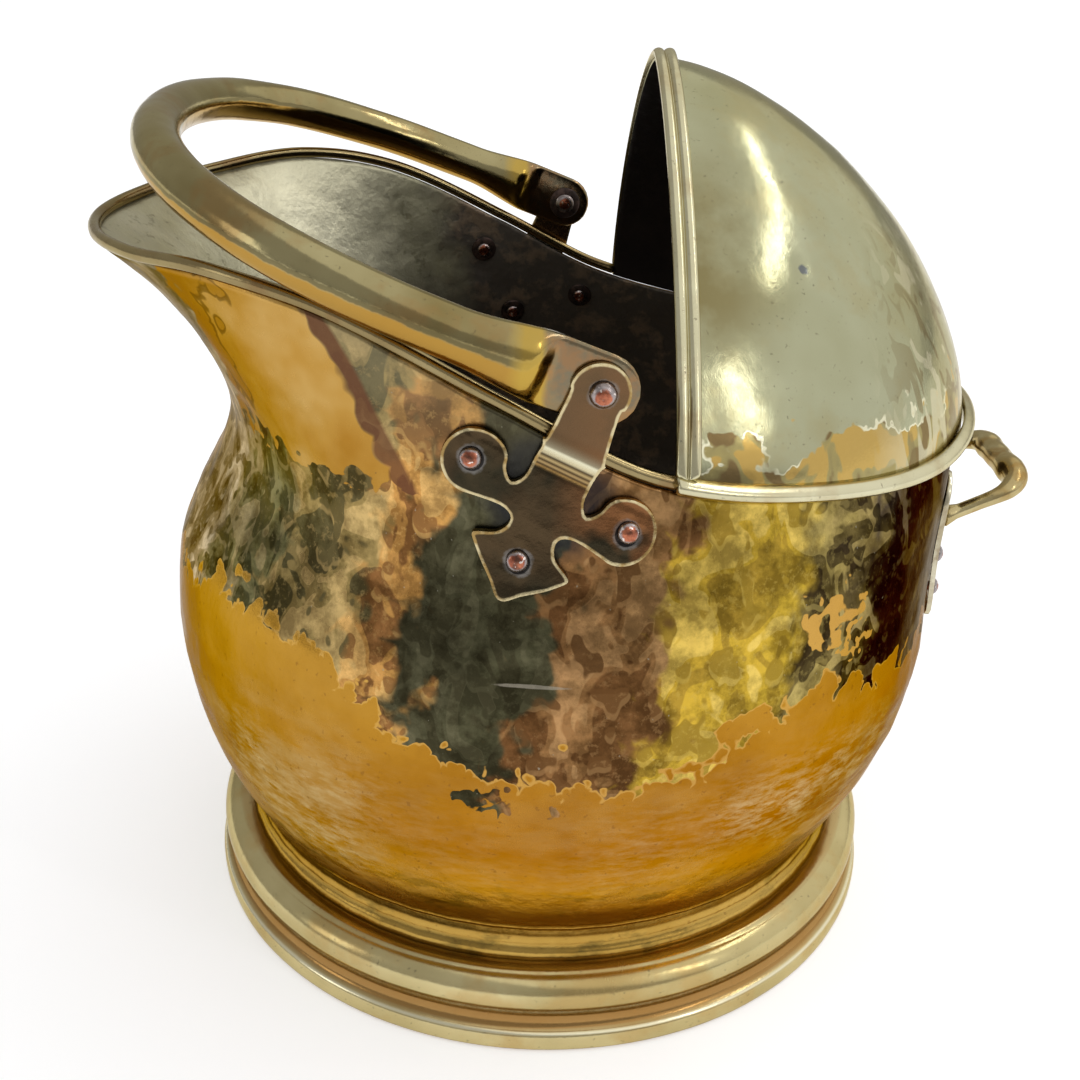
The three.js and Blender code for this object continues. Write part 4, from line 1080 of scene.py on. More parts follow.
def grip_radius(t):
    """Thin in the legs, thick in the bar, and flared where it meets its plate."""
    from_end = min(t, 1 - t) * grip_length
    start = GRIP_REACH * 0.5
    u = share(from_end, start, GRIP_REACH + GRIP_HALF_SPAN * 0.5)
    radius = 0.0032 + 0.0027 * eased(u)
    radius += 0.0014 * max(0, 1 - from_end / 0.005)
    radius += 0.0007 * noise.noise(Vector((t * 14, 0.3, 0.7))) * u
    return radius


def grip_frame(t):
    i = min(round(t * GRIP_ROWS), GRIP_ROWS)
    tangent = Vector(grip_points[min(i + 1, GRIP_ROWS)] - grip_points[max(i - 1, 0)]).normalized()
    up = Vector((0, 0, 1))
    return Vector(grip_points[i]), tangent.cross(up).normalized(), up


grip = swept("tipping_grip", lambda t: ring_section(grip_radius(t), 24), GRIP_ROWS, grip_frame)
dress(grip, BODY, "cast_brass", "rear_grip")

# %% [markdown]
# The two plates under the grip are copies of their solids with softened edges.

# %% Grip plates
straps = []
for side_name in ("near", "far"):
    strap = refined(f"grip_plate_{side_name}", f"grip_strap_{side_name}", bevel=0.0005)
    dress(strap, BODY, "plate_brass", f"grip_plate_{side_name}")
    straps.append(strap)

# %% [markdown]
# ## Finishes
# All finishes are built from nodes on object coordinates, so that no pattern slides when the
# camera or the bail moves. Two small classes keep the node tree short to write: each method of
# a finish adds one node, joins what it is given, and returns what comes out of it as a signal,
# and signals can be added and multiplied.

# %% Finish helper
class Signal:
    """What comes out of a node. Each sum or product of signals adds one more maths node."""

    def __init__(self, finish, socket):
        self.finish, self.socket = finish, socket

    def __add__(self, other):
        return self.finish.maths("ADD", self, other)

    def __sub__(self, other):
        return self.finish.maths("SUBTRACT", self, other)

    def __rsub__(self, other):
        return self.finish.maths("SUBTRACT", other, self)

    def __mul__(self, other):
        return self.finish.maths("MULTIPLY", self, other)

    def __truediv__(self, other):
        return self.finish.maths("DIVIDE", self, other)

    def __pow__(self, other):
        return self.finish.maths("POWER", self, other)

    def __abs__(self):
        return self.finish.maths("ABSOLUTE", self)


class Finish:
    """A material that is put together one node at a time."""

    def __init__(self, name, metallic=1.0, coat=0.0, coat_rough=0.1, edge_tint=(1, 1, 1)):
        self.material = bpy.data.materials.new(name)
        self.material.use_nodes = True
        self.nodes = self.material.node_tree.nodes
        self.links = self.material.node_tree.links
        self.nodes.clear()
        self.shader = self.nodes.new("ShaderNodeBsdfPrincipled")
        self.shader.inputs["Metallic"].default_value = metallic
        # A brown tint at grazing angles keeps dark metal from going white at its edges.
        self.shader.inputs["Specular Tint"].default_value = (*edge_tint, 1)
        self.shader.inputs["Coat Weight"].default_value = coat
        self.shader.inputs["Coat Roughness"].default_value = coat_rough
        output = self.nodes.new("ShaderNodeOutputMaterial")
        self.links.new(self.shader.outputs[0], output.inputs["Surface"])
        self.at = Signal(self, self.nodes.new("ShaderNodeTexCoord").outputs["Object"])

    def join(self, socket, value):
        if isinstance(value, Signal):
            self.links.new(value.socket, socket)
        elif isinstance(value, tuple) and len(value) == 3 and socket.type == "RGBA":
            socket.default_value = (*value, 1)
        else:
            socket.default_value = value

    def maths(self, operation, a, b=0.0, c=0.0, clamp=False):
        node = self.nodes.new("ShaderNodeMath")
        node.operation = operation
        node.use_clamp = clamp
        for socket, value in zip(node.inputs, (a, b, c)):
            self.join(socket, value)
        return Signal(self, node.outputs[0])

    def noise(self, scale, detail=2.0, rough=0.5, at=None, bend=0.0):
        node = self.nodes.new("ShaderNodeTexNoise")
        self.join(node.inputs["Vector"], at or self.at)
        self.join(node.inputs["Scale"], scale)
        self.join(node.inputs["Detail"], detail)
        self.join(node.inputs["Roughness"], rough)
        self.join(node.inputs["Distortion"], bend)
        return Signal(self, node.outputs["Fac"])

    def moved(self, place=(0, 0, 0), scale=(1, 1, 1), turn=(0, 0, 0), at=None):
        node = self.nodes.new("ShaderNodeMapping")
        self.join(node.inputs["Vector"], at or self.at)
        node.inputs["Location"].default_value = place
        node.inputs["Rotation"].default_value = turn
        node.inputs["Scale"].default_value = scale
        return Signal(self, node.outputs[0])

    def parts(self, vector):
        node = self.nodes.new("ShaderNodeSeparateXYZ")
        self.join(node.inputs[0], vector)
        return [Signal(self, output) for output in node.outputs]

    def stored(self, name):
        """The number that store() kept at every corner."""
        node = self.nodes.new("ShaderNodeAttribute")
        node.attribute_name = name
        return Signal(self, node.outputs["Fac"])

    def distance_to(self, point):
        node = self.nodes.new("ShaderNodeVectorMath")
        node.operation = "DISTANCE"
        self.join(node.inputs[0], self.at)
        node.inputs[1].default_value = point
        return Signal(self, node.outputs["Value"])

    def ramp(self, factor, stops):
        node = self.nodes.new("ShaderNodeValToRGB")
        self.join(node.inputs[0], factor)
        while len(node.color_ramp.elements) < len(stops):
            node.color_ramp.elements.new(1.0)
        for element, (position, colour) in zip(node.color_ramp.elements, stops):
            element.position = position
            grey = (colour,) * 3 if isinstance(colour, (int, float)) else colour
            element.color = (*grey, 1)
        return Signal(self, node.outputs["Color"])

    def mix(self, factor, a, b, kind="MIX"):
        node = self.nodes.new("ShaderNodeMix")
        node.data_type = "RGBA"
        node.blend_type = kind
        self.join(node.inputs["Factor"], factor)
        self.join(node.inputs[6], a)
        self.join(node.inputs[7], b)
        return Signal(self, node.outputs[2])

    def step(self, value, edge, width):
        """0 below the edge and 1 above it, with a soft change of the given width."""
        shifted = self.maths("SUBTRACT", value, edge)
        return self.maths("MULTIPLY_ADD", shifted, 1 / width, 0.5, clamp=True)

    def bump(self, height, distance, strength=1.0, under=None):
        node = self.nodes.new("ShaderNodeBump")
        node.inputs["Distance"].default_value = distance
        node.inputs["Strength"].default_value = strength
        self.join(node.inputs["Height"], height)
        if under is not None:
            self.join(node.inputs["Normal"], under)
        return Signal(self, node.outputs[0])

    def done(self, colour, rough, normal=None):
        self.join(self.shader.inputs["Base Color"], colour)
        self.join(self.shader.inputs["Roughness"], rough)
        if normal is not None:
            self.join(self.shader.inputs["Normal"], normal)
        return self.material


def wear(materials, pieces):
    """Gives pieces their materials, in the order of their slots."""
    for piece in pieces:
        if piece.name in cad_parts:
            for slot in piece.material_slots:
                slot.material = materials[0]
            continue
        while len(piece.data.materials) < len(materials):
            piece.data.materials.append(None)
        for i, material in enumerate(materials):
            piece.data.materials[i] = material
    print(materials[0].name, "on", len(pieces), "pieces")


# %% [markdown]
# ## Hammered brass
# The body's brass is polished but uneven, and its colour holds painted reflections: below, a warm,
# golden painted reflection, and above, dark painted reflections in upright bands that change from
# olive to brown to yellow. The edges between them are ragged, because every hammer mark turns its
# own way. So the finish reads two numbers, the angle from the rear and the height. Noise pushes
# both about before they choose a colour.

# %% Body finish: where the zones lie
brass = Finish("aged_hammered_brass", edge_tint=(0.50, 0.40, 0.26))
centred = brass.moved(place=(-FOOT_X, 0, 0))
x, y, z = brass.parts(centred)
angle = brass.maths("ARCTAN2", abs(y), x)
angle = angle / math.pi  # 0 at the rear, 1 at the spout's tip


def ridged(finish, scale, place, size):
    """Noise that is folded at its middle, so that its edges are scalloped."""
    wave = finish.noise(scale, 1.3, 0.45, at=finish.moved(place=place))
    return abs(wave - 0.5) * size


def by_angle(pairs, scale=1.0):
    """Stops for a ramp, from degrees and values."""
    return [(a / 180, v / scale if isinstance(v, (int, float)) else v) for a, v in pairs]


ZONE_SHIFT = 0.022  # the mean push of the noise, taken off again
GOLD_HIGHEST = 0.3
sideways = angle + ridged(brass, 48, (0, 0, 0), 0.17)
sideways = sideways + ridged(brass, 130, (2, 6, 1), 0.055)
sideways = (z - 0.19) * 0.42 + sideways
zone = sideways - ZONE_SHIFT
upwards = z - ridged(brass, 62, (5, 1, 3), 0.07)
upwards = upwards - ridged(brass, 170, (1, 3, 8), 0.022)
upwards = upwards + 0.007

# Height of the ragged top of the golden painted reflection, by degrees from the rear.
golden_top = brass.ramp(angle, by_angle((
    (0, 0.150), (30, 0.147), (45, 0.153), (55, 0.160), (65, 0.155), (72, 0.141), (85, 0.137),
    (95, 0.140), (103, 0.146), (111, 0.153), (118, 0.166), (124, 0.173), (132, 0.179),
    (146, 0.179), (156, 0.170), (180, 0.166),
), GOLD_HIGHEST))
golden_top = golden_top * GOLD_HIGHEST
above = brass.step(upwards, golden_top, 0.0008)

# %% [markdown]
# Above the ragged line, each band of painted reflection has three tones. Noise picks among them,
# cloudy variation lies over all of it, and the sheet beside the brackets gets a black painted
# shade.

# %% Body finish: the dark bands above
# degrees from the rear, common tone, paler tone, darker tone
PAINTED_REFLECTION_BANDS = (
    (0, (0.046, 0.034, 0.023), (0.15, 0.11, 0.065), (0.018, 0.013, 0.011)),
    (17, (0.014, 0.011, 0.010), (0.085, 0.066, 0.046), (0.006, 0.005, 0.005)),
    (42, (0.014, 0.011, 0.010), (0.095, 0.072, 0.048), (0.006, 0.005, 0.005)),
    (46, (0.060, 0.044, 0.020), (0.24, 0.18, 0.07), (0.022, 0.016, 0.010)),
    (55, (0.125, 0.092, 0.030), (0.34, 0.26, 0.08), (0.044, 0.030, 0.013)),
    (59, (0.450, 0.300, 0.032), (0.56, 0.40, 0.085), (0.330, 0.215, 0.026)),
    (75, (0.440, 0.280, 0.030), (0.55, 0.38, 0.075), (0.300, 0.185, 0.024)),
    (77, (0.230, 0.118, 0.042), (0.320, 0.180, 0.070), (0.130, 0.060, 0.020)),
    (91, (0.225, 0.112, 0.040), (0.320, 0.175, 0.070), (0.125, 0.056, 0.019)),
    (93, (0.064, 0.060, 0.030), (0.084, 0.077, 0.040), (0.045, 0.040, 0.020)),
    (108, (0.064, 0.059, 0.031), (0.086, 0.078, 0.042), (0.045, 0.040, 0.020)),
    (110.5, (0.500, 0.260, 0.070), (0.60, 0.360, 0.120), (0.260, 0.120, 0.038)),
    (116, (0.450, 0.230, 0.064), (0.58, 0.340, 0.110), (0.220, 0.100, 0.032)),
    (118, (0.270, 0.190, 0.066), (0.420, 0.290, 0.110), (0.105, 0.082, 0.034)),
    (134, (0.250, 0.185, 0.070), (0.400, 0.285, 0.115), (0.088, 0.075, 0.032)),
    (136, (0.160, 0.148, 0.064), (0.310, 0.250, 0.115), (0.070, 0.068, 0.031)),
    (149, (0.190, 0.165, 0.082), (0.360, 0.290, 0.155), (0.080, 0.073, 0.037)),
    (152, (0.340, 0.270, 0.160), (0.56, 0.470, 0.310), (0.155, 0.122, 0.072)),
    (168, (0.340, 0.270, 0.160), (0.58, 0.490, 0.320), (0.150, 0.118, 0.070)),
    (172, (0.440, 0.255, 0.080), (0.56, 0.390, 0.170), (0.220, 0.135, 0.060)),
)
common, paler, darker = (
    brass.ramp(zone, by_angle([(band[0], band[k]) for band in PAINTED_REFLECTION_BANDS])) for k in (1, 2, 3)
)
stretched = brass.moved(scale=(1, 1, 0.72), place=(3, 2, 1))
tones = brass.noise(58, 2, 0.5, at=stretched, bend=0.9)
upper = brass.mix(brass.step(tones, 0.545, 0.022), common, paler)
upper = brass.mix(brass.step(tones, 0.455, -0.022), upper, darker)
# Broken, cloudy variation over all of the painted reflection, so that no patch is flat.
cloud = brass.noise(62, 6, 0.68, at=brass.moved(place=(7, 1, 4)))
dimmed = brass.mix(1.0, upper, (0.60, 0.58, 0.56), kind="MULTIPLY")
upper = brass.mix(brass.step(cloud, 0.53, 0.10), upper, dimmed)
lighter = brass.mix(1.0, upper, (1.45, 1.45, 1.5), kind="MULTIPLY")
upper = brass.mix(brass.step(cloud, 0.44, -0.10), upper, lighter)
# Thin pale painted highlights here and there, as on the edge where one hammer mark cuts another.
ridge_highlight = brass.step(abs(tones - 0.548), 0.0035, -0.003)
ridge_highlight = ridge_highlight * brass.step(cloud, 0.5, 0.06)
upper = brass.mix(ridge_highlight * 0.5, upper, paler)
# Single hammer marks, painted in light and shade: small dark almond shapes with a painted highlight
# on their upper side.
marks = brass.noise(105, 1, 0.4, at=brass.moved(scale=(1, 1, 0.8), place=(8, 3, 5)))
mark_highlight = brass.noise(105, 1, 0.4, at=brass.moved(scale=(1, 1, 0.8), place=(8, 3, 5.0016)))
upper = brass.mix(brass.step(mark_highlight, 0.607, 0.02) * 0.5, upper, paler)
upper = brass.mix(brass.step(marks, 0.614, 0.02) * 0.85, upper, darker)
# Small pale specks.
pale_speck_noise = brass.noise(330, 3, 0.7)
upper = brass.mix(brass.step(pale_speck_noise, 0.6, 0.1) * 0.35, upper, paler)
dust = brass.step(brass.noise(420, 2, 0.6), 0.755, 0.03)
upper = brass.mix(dust * 0.45, upper, (0.4, 0.37, 0.28))
# The sheet close to the brackets gets a black painted shade.
bracket_x = x - (BRACKET_CENTRE.x - FOOT_X)
bracket_z = z - BRACKET_CENTRE.z
from_bracket = (bracket_x * bracket_x + bracket_z * bracket_z) ** 0.5
from_bracket = brass.noise(70, 3, 0.6) * 0.014 + from_bracket
bracket_shade = brass.step(from_bracket, 0.0275, -0.009)
upper = brass.mix(bracket_shade * 0.78, upper, (0.022, 0.023, 0.027))
near_rim = brass.step(z, 0.268, 0.05) * brass.step(zone, 0.5, 0.02)
upper = brass.mix(near_rim * 0.6, upper, (0.2, 0.175, 0.105))

# %% [markdown]
# Under the spout, the golden painted reflection covers a panel of the wall above the ragged line
# too, and a red-brown line runs along its rear edge. Below, the golden painted reflection changes
# with height, with haze, pale painted highlights and spots on it.

# %% Body finish: the spout's panel and the golden zone
def island(at_degrees, half_degrees, at_height, half_height, ragged=1.0):
    """A ragged oval patch, by its middle and its half sizes."""
    a = (sideways - (at_degrees / 180 + ZONE_SHIFT)) * (180 / half_degrees)
    b = (upwards - at_height) / half_height
    size = a * a + b * b
    wild = (brass.noise(150, 2) - 0.5) * (3.5 * ragged)
    return brass.step(size + wild, 1.0, -0.25)


above = brass.maths("MAXIMUM", above, island(93, 3.6, 0.1285, 0.0055))
gold_islands = brass.maths(
    "MAXIMUM", island(52, 4.0, 0.1855, 0.0085, 0.6), island(47.5, 1.5, 0.1745, 0.0045, 0.6))
above = above * (1.0 - gold_islands)

# The panel's rear edge is 114 degrees from the rear at 0.245 m, and 11 more when 0.053 m higher.
EDGE_DEGREES, EDGE_HEIGHT, EDGE_LEAN = 114, 0.245, 11 / 0.053
edge_slope = z * (EDGE_LEAN / 180) + (EDGE_DEGREES - EDGE_HEIGHT * EDGE_LEAN) / 180
panel = brass.step(angle, edge_slope + ridged(brass, 60, (3, 3, 7), 0.05), 0.004)
panel_top = brass.step(upwards + 0.002, 0.2395, 0.0008)
panel = panel * panel_top
panel = panel * (1.0 - brass.step(sideways, 0.865, 0.006))
panel_tint = brass.ramp(brass.noise(26, 3, 0.55), (
    (0.32, (0.40, 0.195, 0.028)), (0.5, (0.48, 0.265, 0.055)), (0.66, (0.56, 0.350, 0.110)),
))
far_strip = brass.step(sideways, 0.835, 0.004)
panel_tint = brass.mix(far_strip * 0.6, panel_tint, (0.34, 0.165, 0.02))
strip_line = brass.step(abs(sideways - 0.835), 0.004, -0.003)
panel_tint = brass.mix(strip_line * 0.6, panel_tint, (0.1, 0.06, 0.02))
upper = brass.mix(panel, upper, panel_tint)
line_side = brass.step(angle, edge_slope - 0.0125, 0.004)
red_edge = line_side * panel_top * (1.0 - panel)
red_edge = red_edge * (1.0 - brass.step(angle, 0.72, 0.02))
upper = brass.mix(red_edge * 0.85, upper, (0.135, 0.055, 0.028))

# Stops by height: 1.0 stands for 0.2 m.
fifths = z * 5
height_tint = brass.ramp(fifths, (
    (0.20, (0.54, 0.340, 0.080)), (0.28, (0.58, 0.330, 0.055)), (0.34, (0.80, 0.440, 0.065)),
    (0.42, (0.56, 0.265, 0.026)), (0.52, (0.40, 0.155, 0.006)), (0.66, (0.43, 0.185, 0.011)),
    (0.85, (0.47, 0.235, 0.028)),
))
blotch = brass.mix(1.0, height_tint, (0.80, 0.74, 0.60), kind="MULTIPLY")
gold = brass.mix(brass.step(brass.noise(24, 4, 0.65), 0.52, 0.25), height_tint, blotch)
spout_side = brass.step(angle, 0.66, 0.25)
gold = brass.mix(spout_side * 0.5, gold, (0.52, 0.3, 0.05))
wide = brass.moved(scale=(1, 1, 2.4), place=(5, 2, 9))
haze = brass.step(brass.noise(20, 4, 0.65, at=wide), 0.54, 0.16)
haze = haze * brass.ramp(fifths, ((0.26, 0.1), (0.36, 1.0), (0.60, 1.0), (0.78, 0.1)))
haze = haze * brass.ramp(angle, by_angle((
    (0, 0.6), (60, 0.55), (80, 0.3), (108, 0.35), (122, 1.0), (180, 1.0),
)))
gold = brass.mix(haze * 0.34, gold, (0.66, 0.5, 0.22))
# Pale painted highlights low on the belly, where it turns in towards the foot.
belly_highlight_at = brass.moved(scale=(1, 1, 3.2), turn=(0.25, 0.1, 0), place=(3, 9, 4))
belly_highlight = brass.step(brass.noise(95, 6, 0.72, at=belly_highlight_at), 0.54, 0.24)
belly_highlight = belly_highlight * brass.step(brass.noise(16, 2), 0.5, 0.3)
belly_highlight = belly_highlight * brass.ramp(fifths, ((0.30, 0.0), (0.40, 1.0), (0.58, 1.0), (0.70, 0.0)))
belly_highlight = belly_highlight * brass.ramp(angle, by_angle((
    (0, 1.0), (58, 1.0), (72, 0.25), (112, 0.25), (124, 1.0), (180, 1.0),
)))
gold = brass.mix(belly_highlight * 0.62, gold, (0.8, 0.69, 0.4))
# Dark smudges low on the belly.
dark_smudge_at = brass.moved(scale=(1, 1, 2.2), place=(1, 1, 1))
dark_smudge = brass.step(brass.noise(40, 4, 0.65, at=dark_smudge_at), 0.60, 0.08)
dark_smudge = dark_smudge * (1.0 - brass.step(z, 0.082, 0.03))
gold = brass.mix(dark_smudge * 0.6, gold, (0.17, 0.115, 0.028))
specks = brass.step(brass.noise(380, 2, 0.6), 0.68, 0.04)
gold = brass.mix(specks * 0.4, gold, (0.2, 0.085, 0.02))
# A paler line runs along each ragged edge.
edge_line = brass.step(upwards, golden_top - 0.0016, 0.0012)
gold = brass.mix(edge_line * 0.45, gold, (0.7, 0.43, 0.12))
hammered_colour = brass.mix(above, gold, upper)
# The turned throat: gold with dark bands, painted as the reflection of a dark window and deepest
# in one span of angles.
throat_dark_reflection = brass.ramp((z - FOOT_HEIGHT) * 40, (
    (0.0, 0.7), (0.10, 0.05), (0.2, 0.5), (0.28, 0.0), (0.36, 0.1), (0.40, 0.75), (0.5, 0.7),
    (0.54, 0.05), (0.62, 0.2), (0.68, 0.0), (1.0, 0.0),
))
reflected_window_span = brass.step(sideways, 0.52, 0.05) * (1.0 - brass.step(sideways, 0.72, 0.05))
throat_dark_reflection = throat_dark_reflection * (reflected_window_span * 0.6 + 0.4)
hammered_colour = brass.mix(throat_dark_reflection, hammered_colour, (0.10, 0.07, 0.020))
# A thin pale scratch, in line with the brackets' tails.
along = (angle - 94 / 180) * (180 / 4.6)
across_line = (z - 0.1745) / 0.0007
scratch_line = along * along + across_line * across_line
scratch_line = brass.step(pale_speck_noise * 1.2 + scratch_line, 1.5, -0.6)
hammered_colour = brass.mix(scratch_line * 0.6, hammered_colour, (0.35, 0.31, 0.24))

# %% [markdown]
# Polish isn't even either: hazy gold is duller than clear gold, and everything has fine grain.

# %% Body finish: polish and small marks
grain = brass.noise(900, 3, 0.7, at=brass.moved(scale=(1, 1, 0.25)))
rough = haze * 0.2 + grain * 0.12 + above * 0.06 + 0.17
small_marks = brass.bump(brass.noise(120, 2, 0.5), 0.0006, 0.5)
fine = brass.bump(grain, 0.00015, 0.5, under=small_marks)
hammered = brass.done(hammered_colour, rough, fine)
print("nodes in the body's finish:", len(brass.nodes))

# %% [markdown]
# The inside has never been polished. Coal has blackened the well and the far wall, and only
# under the spout, where the coal slides out, does a pale, dull metal show through.

# %% Inside finish
soot = Finish("sooty_inside", metallic=0.8)
sx, _, sz = soot.parts(soot.at)
spread = (soot.noise(26, 4, 0.65) - 0.5) * 0.1 + sx
bare = 1.0 - soot.step(spread, -0.062, 0.03)
bare = bare * soot.step(sz, 0.215, 0.05)
coal = soot.mix(soot.step(soot.noise(70, 4, 0.65), 0.56, 0.12), (0.18, 0.155, 0.128),
                (0.38, 0.285, 0.2))
khaki = soot.mix(soot.step(soot.noise(22, 3, 0.55), 0.5, 0.4), (0.55, 0.52, 0.37),
                 (0.41, 0.38, 0.23))
khaki = soot.mix(soot.step(soot.noise(150, 3, 0.6), 0.62, 0.08) * 0.5, khaki, (0.16, 0.14, 0.08))
# A painted highlight on the pale metal under the spout.
away = soot.distance_to((-0.118, 0.092, 0.27))
bright = soot.noise(45, 4, 0.65) * -0.05 + away
bright = 1.0 - soot.step(bright, 0.012, 0.045)
khaki = soot.mix(bright, khaki, (0.95, 0.90, 0.66))
inside_colour = soot.mix(bare, coal, khaki)
inside_rough = soot.noise(90, 3, 0.6) * 0.3 + 0.36
inside_bump = soot.bump(soot.noise(140, 3, 0.6), 0.0012, 0.6)
inside = soot.done(inside_colour, inside_rough, inside_bump)
wear((hammered, inside), [body_sheet])

# %% [markdown]
# ## Smooth brass
# The hood, the foot and the handle are thicker or turned pieces that were only polished. Their
# brass is paler and greener than the body's, with drifting tones, fine wiping scratches and
# browner places low down. One recipe makes them all, with its own tints for each.

# %% Smooth finishes
def smooth_brass(name, pale, dark, warm, warm_amount, scale=1.0, rough=0.2):
    """A finish with its colour, roughness and bump, which can still be changed."""
    metal = Finish(name, edge_tint=(0.85, 0.8, 0.65))
    tone = metal.step(metal.noise(16 * scale, 3, 0.55), 0.5, 0.4)
    colour = metal.mix(tone, pale, dark)
    patch = metal.step(metal.noise(30 * scale, 4, 0.6, at=metal.moved(place=(2, 8, 3))), 0.56, 0.12)
    colour = metal.mix(patch * warm_amount, colour, warm)
    freckle = metal.step(metal.noise(520 * scale, 2, 0.6), 0.69, 0.04)
    colour = metal.mix(freckle * 0.4, colour, (0.1, 0.075, 0.04))
    wipe = metal.noise(260 * scale, 4, 0.65,
                       at=metal.moved(scale=(1, 0.12, 1), turn=(0.4, 0.2, 0.9)))
    rough_map = wipe * 0.16 + (rough - 0.08)
    rough_map = patch * 0.05 + rough_map
    ripple = metal.bump(metal.noise(70 * scale, 2, 0.5), 0.0003, 0.5)
    scratch = metal.bump(wipe, 0.00008, 0.6, under=ripple)
    return metal, colour, rough_map, scratch


# name, pale tint, dark tint, warm tint and how much of it, scale of the pattern, pieces
PLAIN = (
    ("pale_brass_mouldings", (0.72, 0.68, 0.47), (0.50, 0.45, 0.27), (0.36, 0.22, 0.08), 0.35, 1.0,
     [base_bead, front_bead]),
    ("wire_brass", (0.36, 0.29, 0.145), (0.22, 0.155, 0.065), (0.22, 0.12, 0.05), 0.5, 1.6,
     [rim_wire]),
    ("grip_brass", (0.62, 0.54, 0.30), (0.31, 0.20, 0.055), (0.34, 0.18, 0.035), 0.7, 2.0, [grip]),
    ("strap_brass", (0.72, 0.68, 0.52), (0.38, 0.32, 0.20), (0.22, 0.14, 0.07), 0.6, 2.0, straps),
)
for *recipe, pieces in PLAIN:
    metal, *surface = smooth_brass(*recipe)
    wear((metal.done(*surface),), pieces)

# %% [markdown]
# The foot's hollows hold old polish, and a thin pale painted highlight runs beside each step.

# %% Foot finish
metal, colour, *surface = smooth_brass("foot_brass", (0.66, 0.56, 0.29), (0.44, 0.35, 0.15),
                                       (0.50, 0.30, 0.085), 0.4)
up_foot = metal.parts(metal.at)[2] / FOOT_HEIGHT
hollow = metal.ramp(up_foot, (
    (0.0, 0.9), (0.03, 0.5), (0.06, 0.0), (0.27, 0.0), (0.30, 0.9), (0.44, 0.9), (0.47, 0.0),
    (0.97, 0.0), (0.99, 0.4), (1.0, 0.5),
))
colour = metal.mix(hollow, colour, (0.36, 0.190, 0.055))
step_highlight = metal.ramp(up_foot, (
    (0.0, 0.0), (0.245, 0.0), (0.258, 0.8), (0.27, 0.8), (0.28, 0.0), (0.50, 0.0), (0.515, 0.8),
    (0.54, 0.7), (0.56, 0.0), (1.0, 0.0),
))
colour = metal.mix(step_highlight, colour, (0.85, 0.78, 0.55))
wear((metal.done(colour, *surface),), [foot])

# %% [markdown]
# The bail is darkened by hands. Its underside gets a golden painted reflection, with a dark painted
# shade line above it, and the scoops where the tube was flattened are golden too.

# %% Bail finish
metal, colour, *surface = smooth_brass("handle_brass", (0.42, 0.365, 0.19), (0.235, 0.18, 0.070),
                                       (0.30, 0.17, 0.055), 0.5, scale=1.3, rough=0.15)
bx = metal.parts(metal.at)[0]
shaken = metal.noise(75, 5, 0.7) * 0.3 + metal.stored("faces_down")
underside_reflection = metal.step(shaken, 0.21, 0.10)
colour = metal.mix(underside_reflection * 0.9, colour, (0.43, 0.235, 0.04))
dark_shade_line = 1.0 - metal.step(abs(shaken - 0.11), 0.085, 0.05)
colour = metal.mix(dark_shade_line * 0.7, colour, (0.1, 0.08, 0.035))
from_pivot = abs(bx - (PIVOT.x - 0.0225))
scoop = metal.step(metal.noise(90, 2) * 0.006 + from_pivot, 0.0085, -0.006)
colour = metal.mix(scoop * 0.8, colour, (0.5, 0.33, 0.06))
lug = metal.step(metal.noise(110, 2) * 0.004 + bx, PIVOT.x - 0.0165, 0.002)
scale_tone = metal.mix(metal.step(metal.noise(170, 4, 0.65), 0.5, 0.2), (0.20, 0.165, 0.11),
                       (0.30, 0.17, 0.085))
colour = metal.mix(lug * 0.8, colour, scale_tone)
wear((metal.done(colour, *surface),), [bail_tube])

# %% [markdown]
# A ragged line divides the hood low down, with brown and golden lumps under it and a painted glint
# along it. Its inside is black with smoke.

# %% Hood finish
metal, colour, *surface = smooth_brass("hood_brass", (0.46, 0.465, 0.31), (0.34, 0.330, 0.19),
                                       (0.37, 0.30, 0.13), 0.3, rough=0.16)
hx, _, hz = metal.parts(metal.at)
ragged = (metal.noise(60, 3, 0.6) - 0.5) * 0.05 + hz
low_part = 1.0 - metal.step(ragged, 0.247, 0.0015)
low_tone = metal.ramp(metal.noise(64, 2, 0.5, at=metal.moved(place=(2, 2, 6)), bend=0.5), (
    (0.41, (0.19, 0.120, 0.045)), (0.44, (0.32, 0.26, 0.105)), (0.50, (0.37, 0.30, 0.115)),
    (0.52, (0.54, 0.35, 0.09)),
))
colour = metal.mix(low_part * 0.92, colour, low_tone)
# A painted glint runs along the ragged line, here and there.
glint = metal.step(abs(ragged - 0.2475), 0.0009, -0.0008)
glint = glint * metal.step(metal.noise(40, 2), 0.5, 0.06)
colour = metal.mix(glint * 0.8, colour, (0.9, 0.86, 0.62))
# Upright wavy reflections gather towards the rear, where the sheet turns away.
curtain = metal.noise(85, 2, 0.5, at=metal.moved(scale=(1, 1, 0.28), place=(0, 4, 2)), bend=0.8)
turned_away = metal.step(hx, 0.112, 0.03) * 0.8
turned_away = turned_away * (1.0 - metal.step(hz, 0.315, 0.03))
colour = metal.mix(metal.step(curtain, 0.57, 0.02) * turned_away, colour, (0.62, 0.58, 0.4))
colour = metal.mix(metal.step(curtain, 0.43, -0.02) * turned_away, colour, (0.22, 0.17, 0.08))
# A browner painted shade stands beside the front moulding.
beside = metal.ramp((hx - HOOD_FRONT_X) * 20, ((0.1, 1.0), (0.4, 0.85), (0.85, 0.0)))
beside = beside * (metal.step(hz, 0.276, 0.03) * (1.0 - metal.step(hz, 0.328, 0.03)))
beside = beside * metal.step(metal.noise(40, 4, 0.6), 0.42, 0.4)
colour = metal.mix(beside, colour, (0.235, 0.195, 0.085))
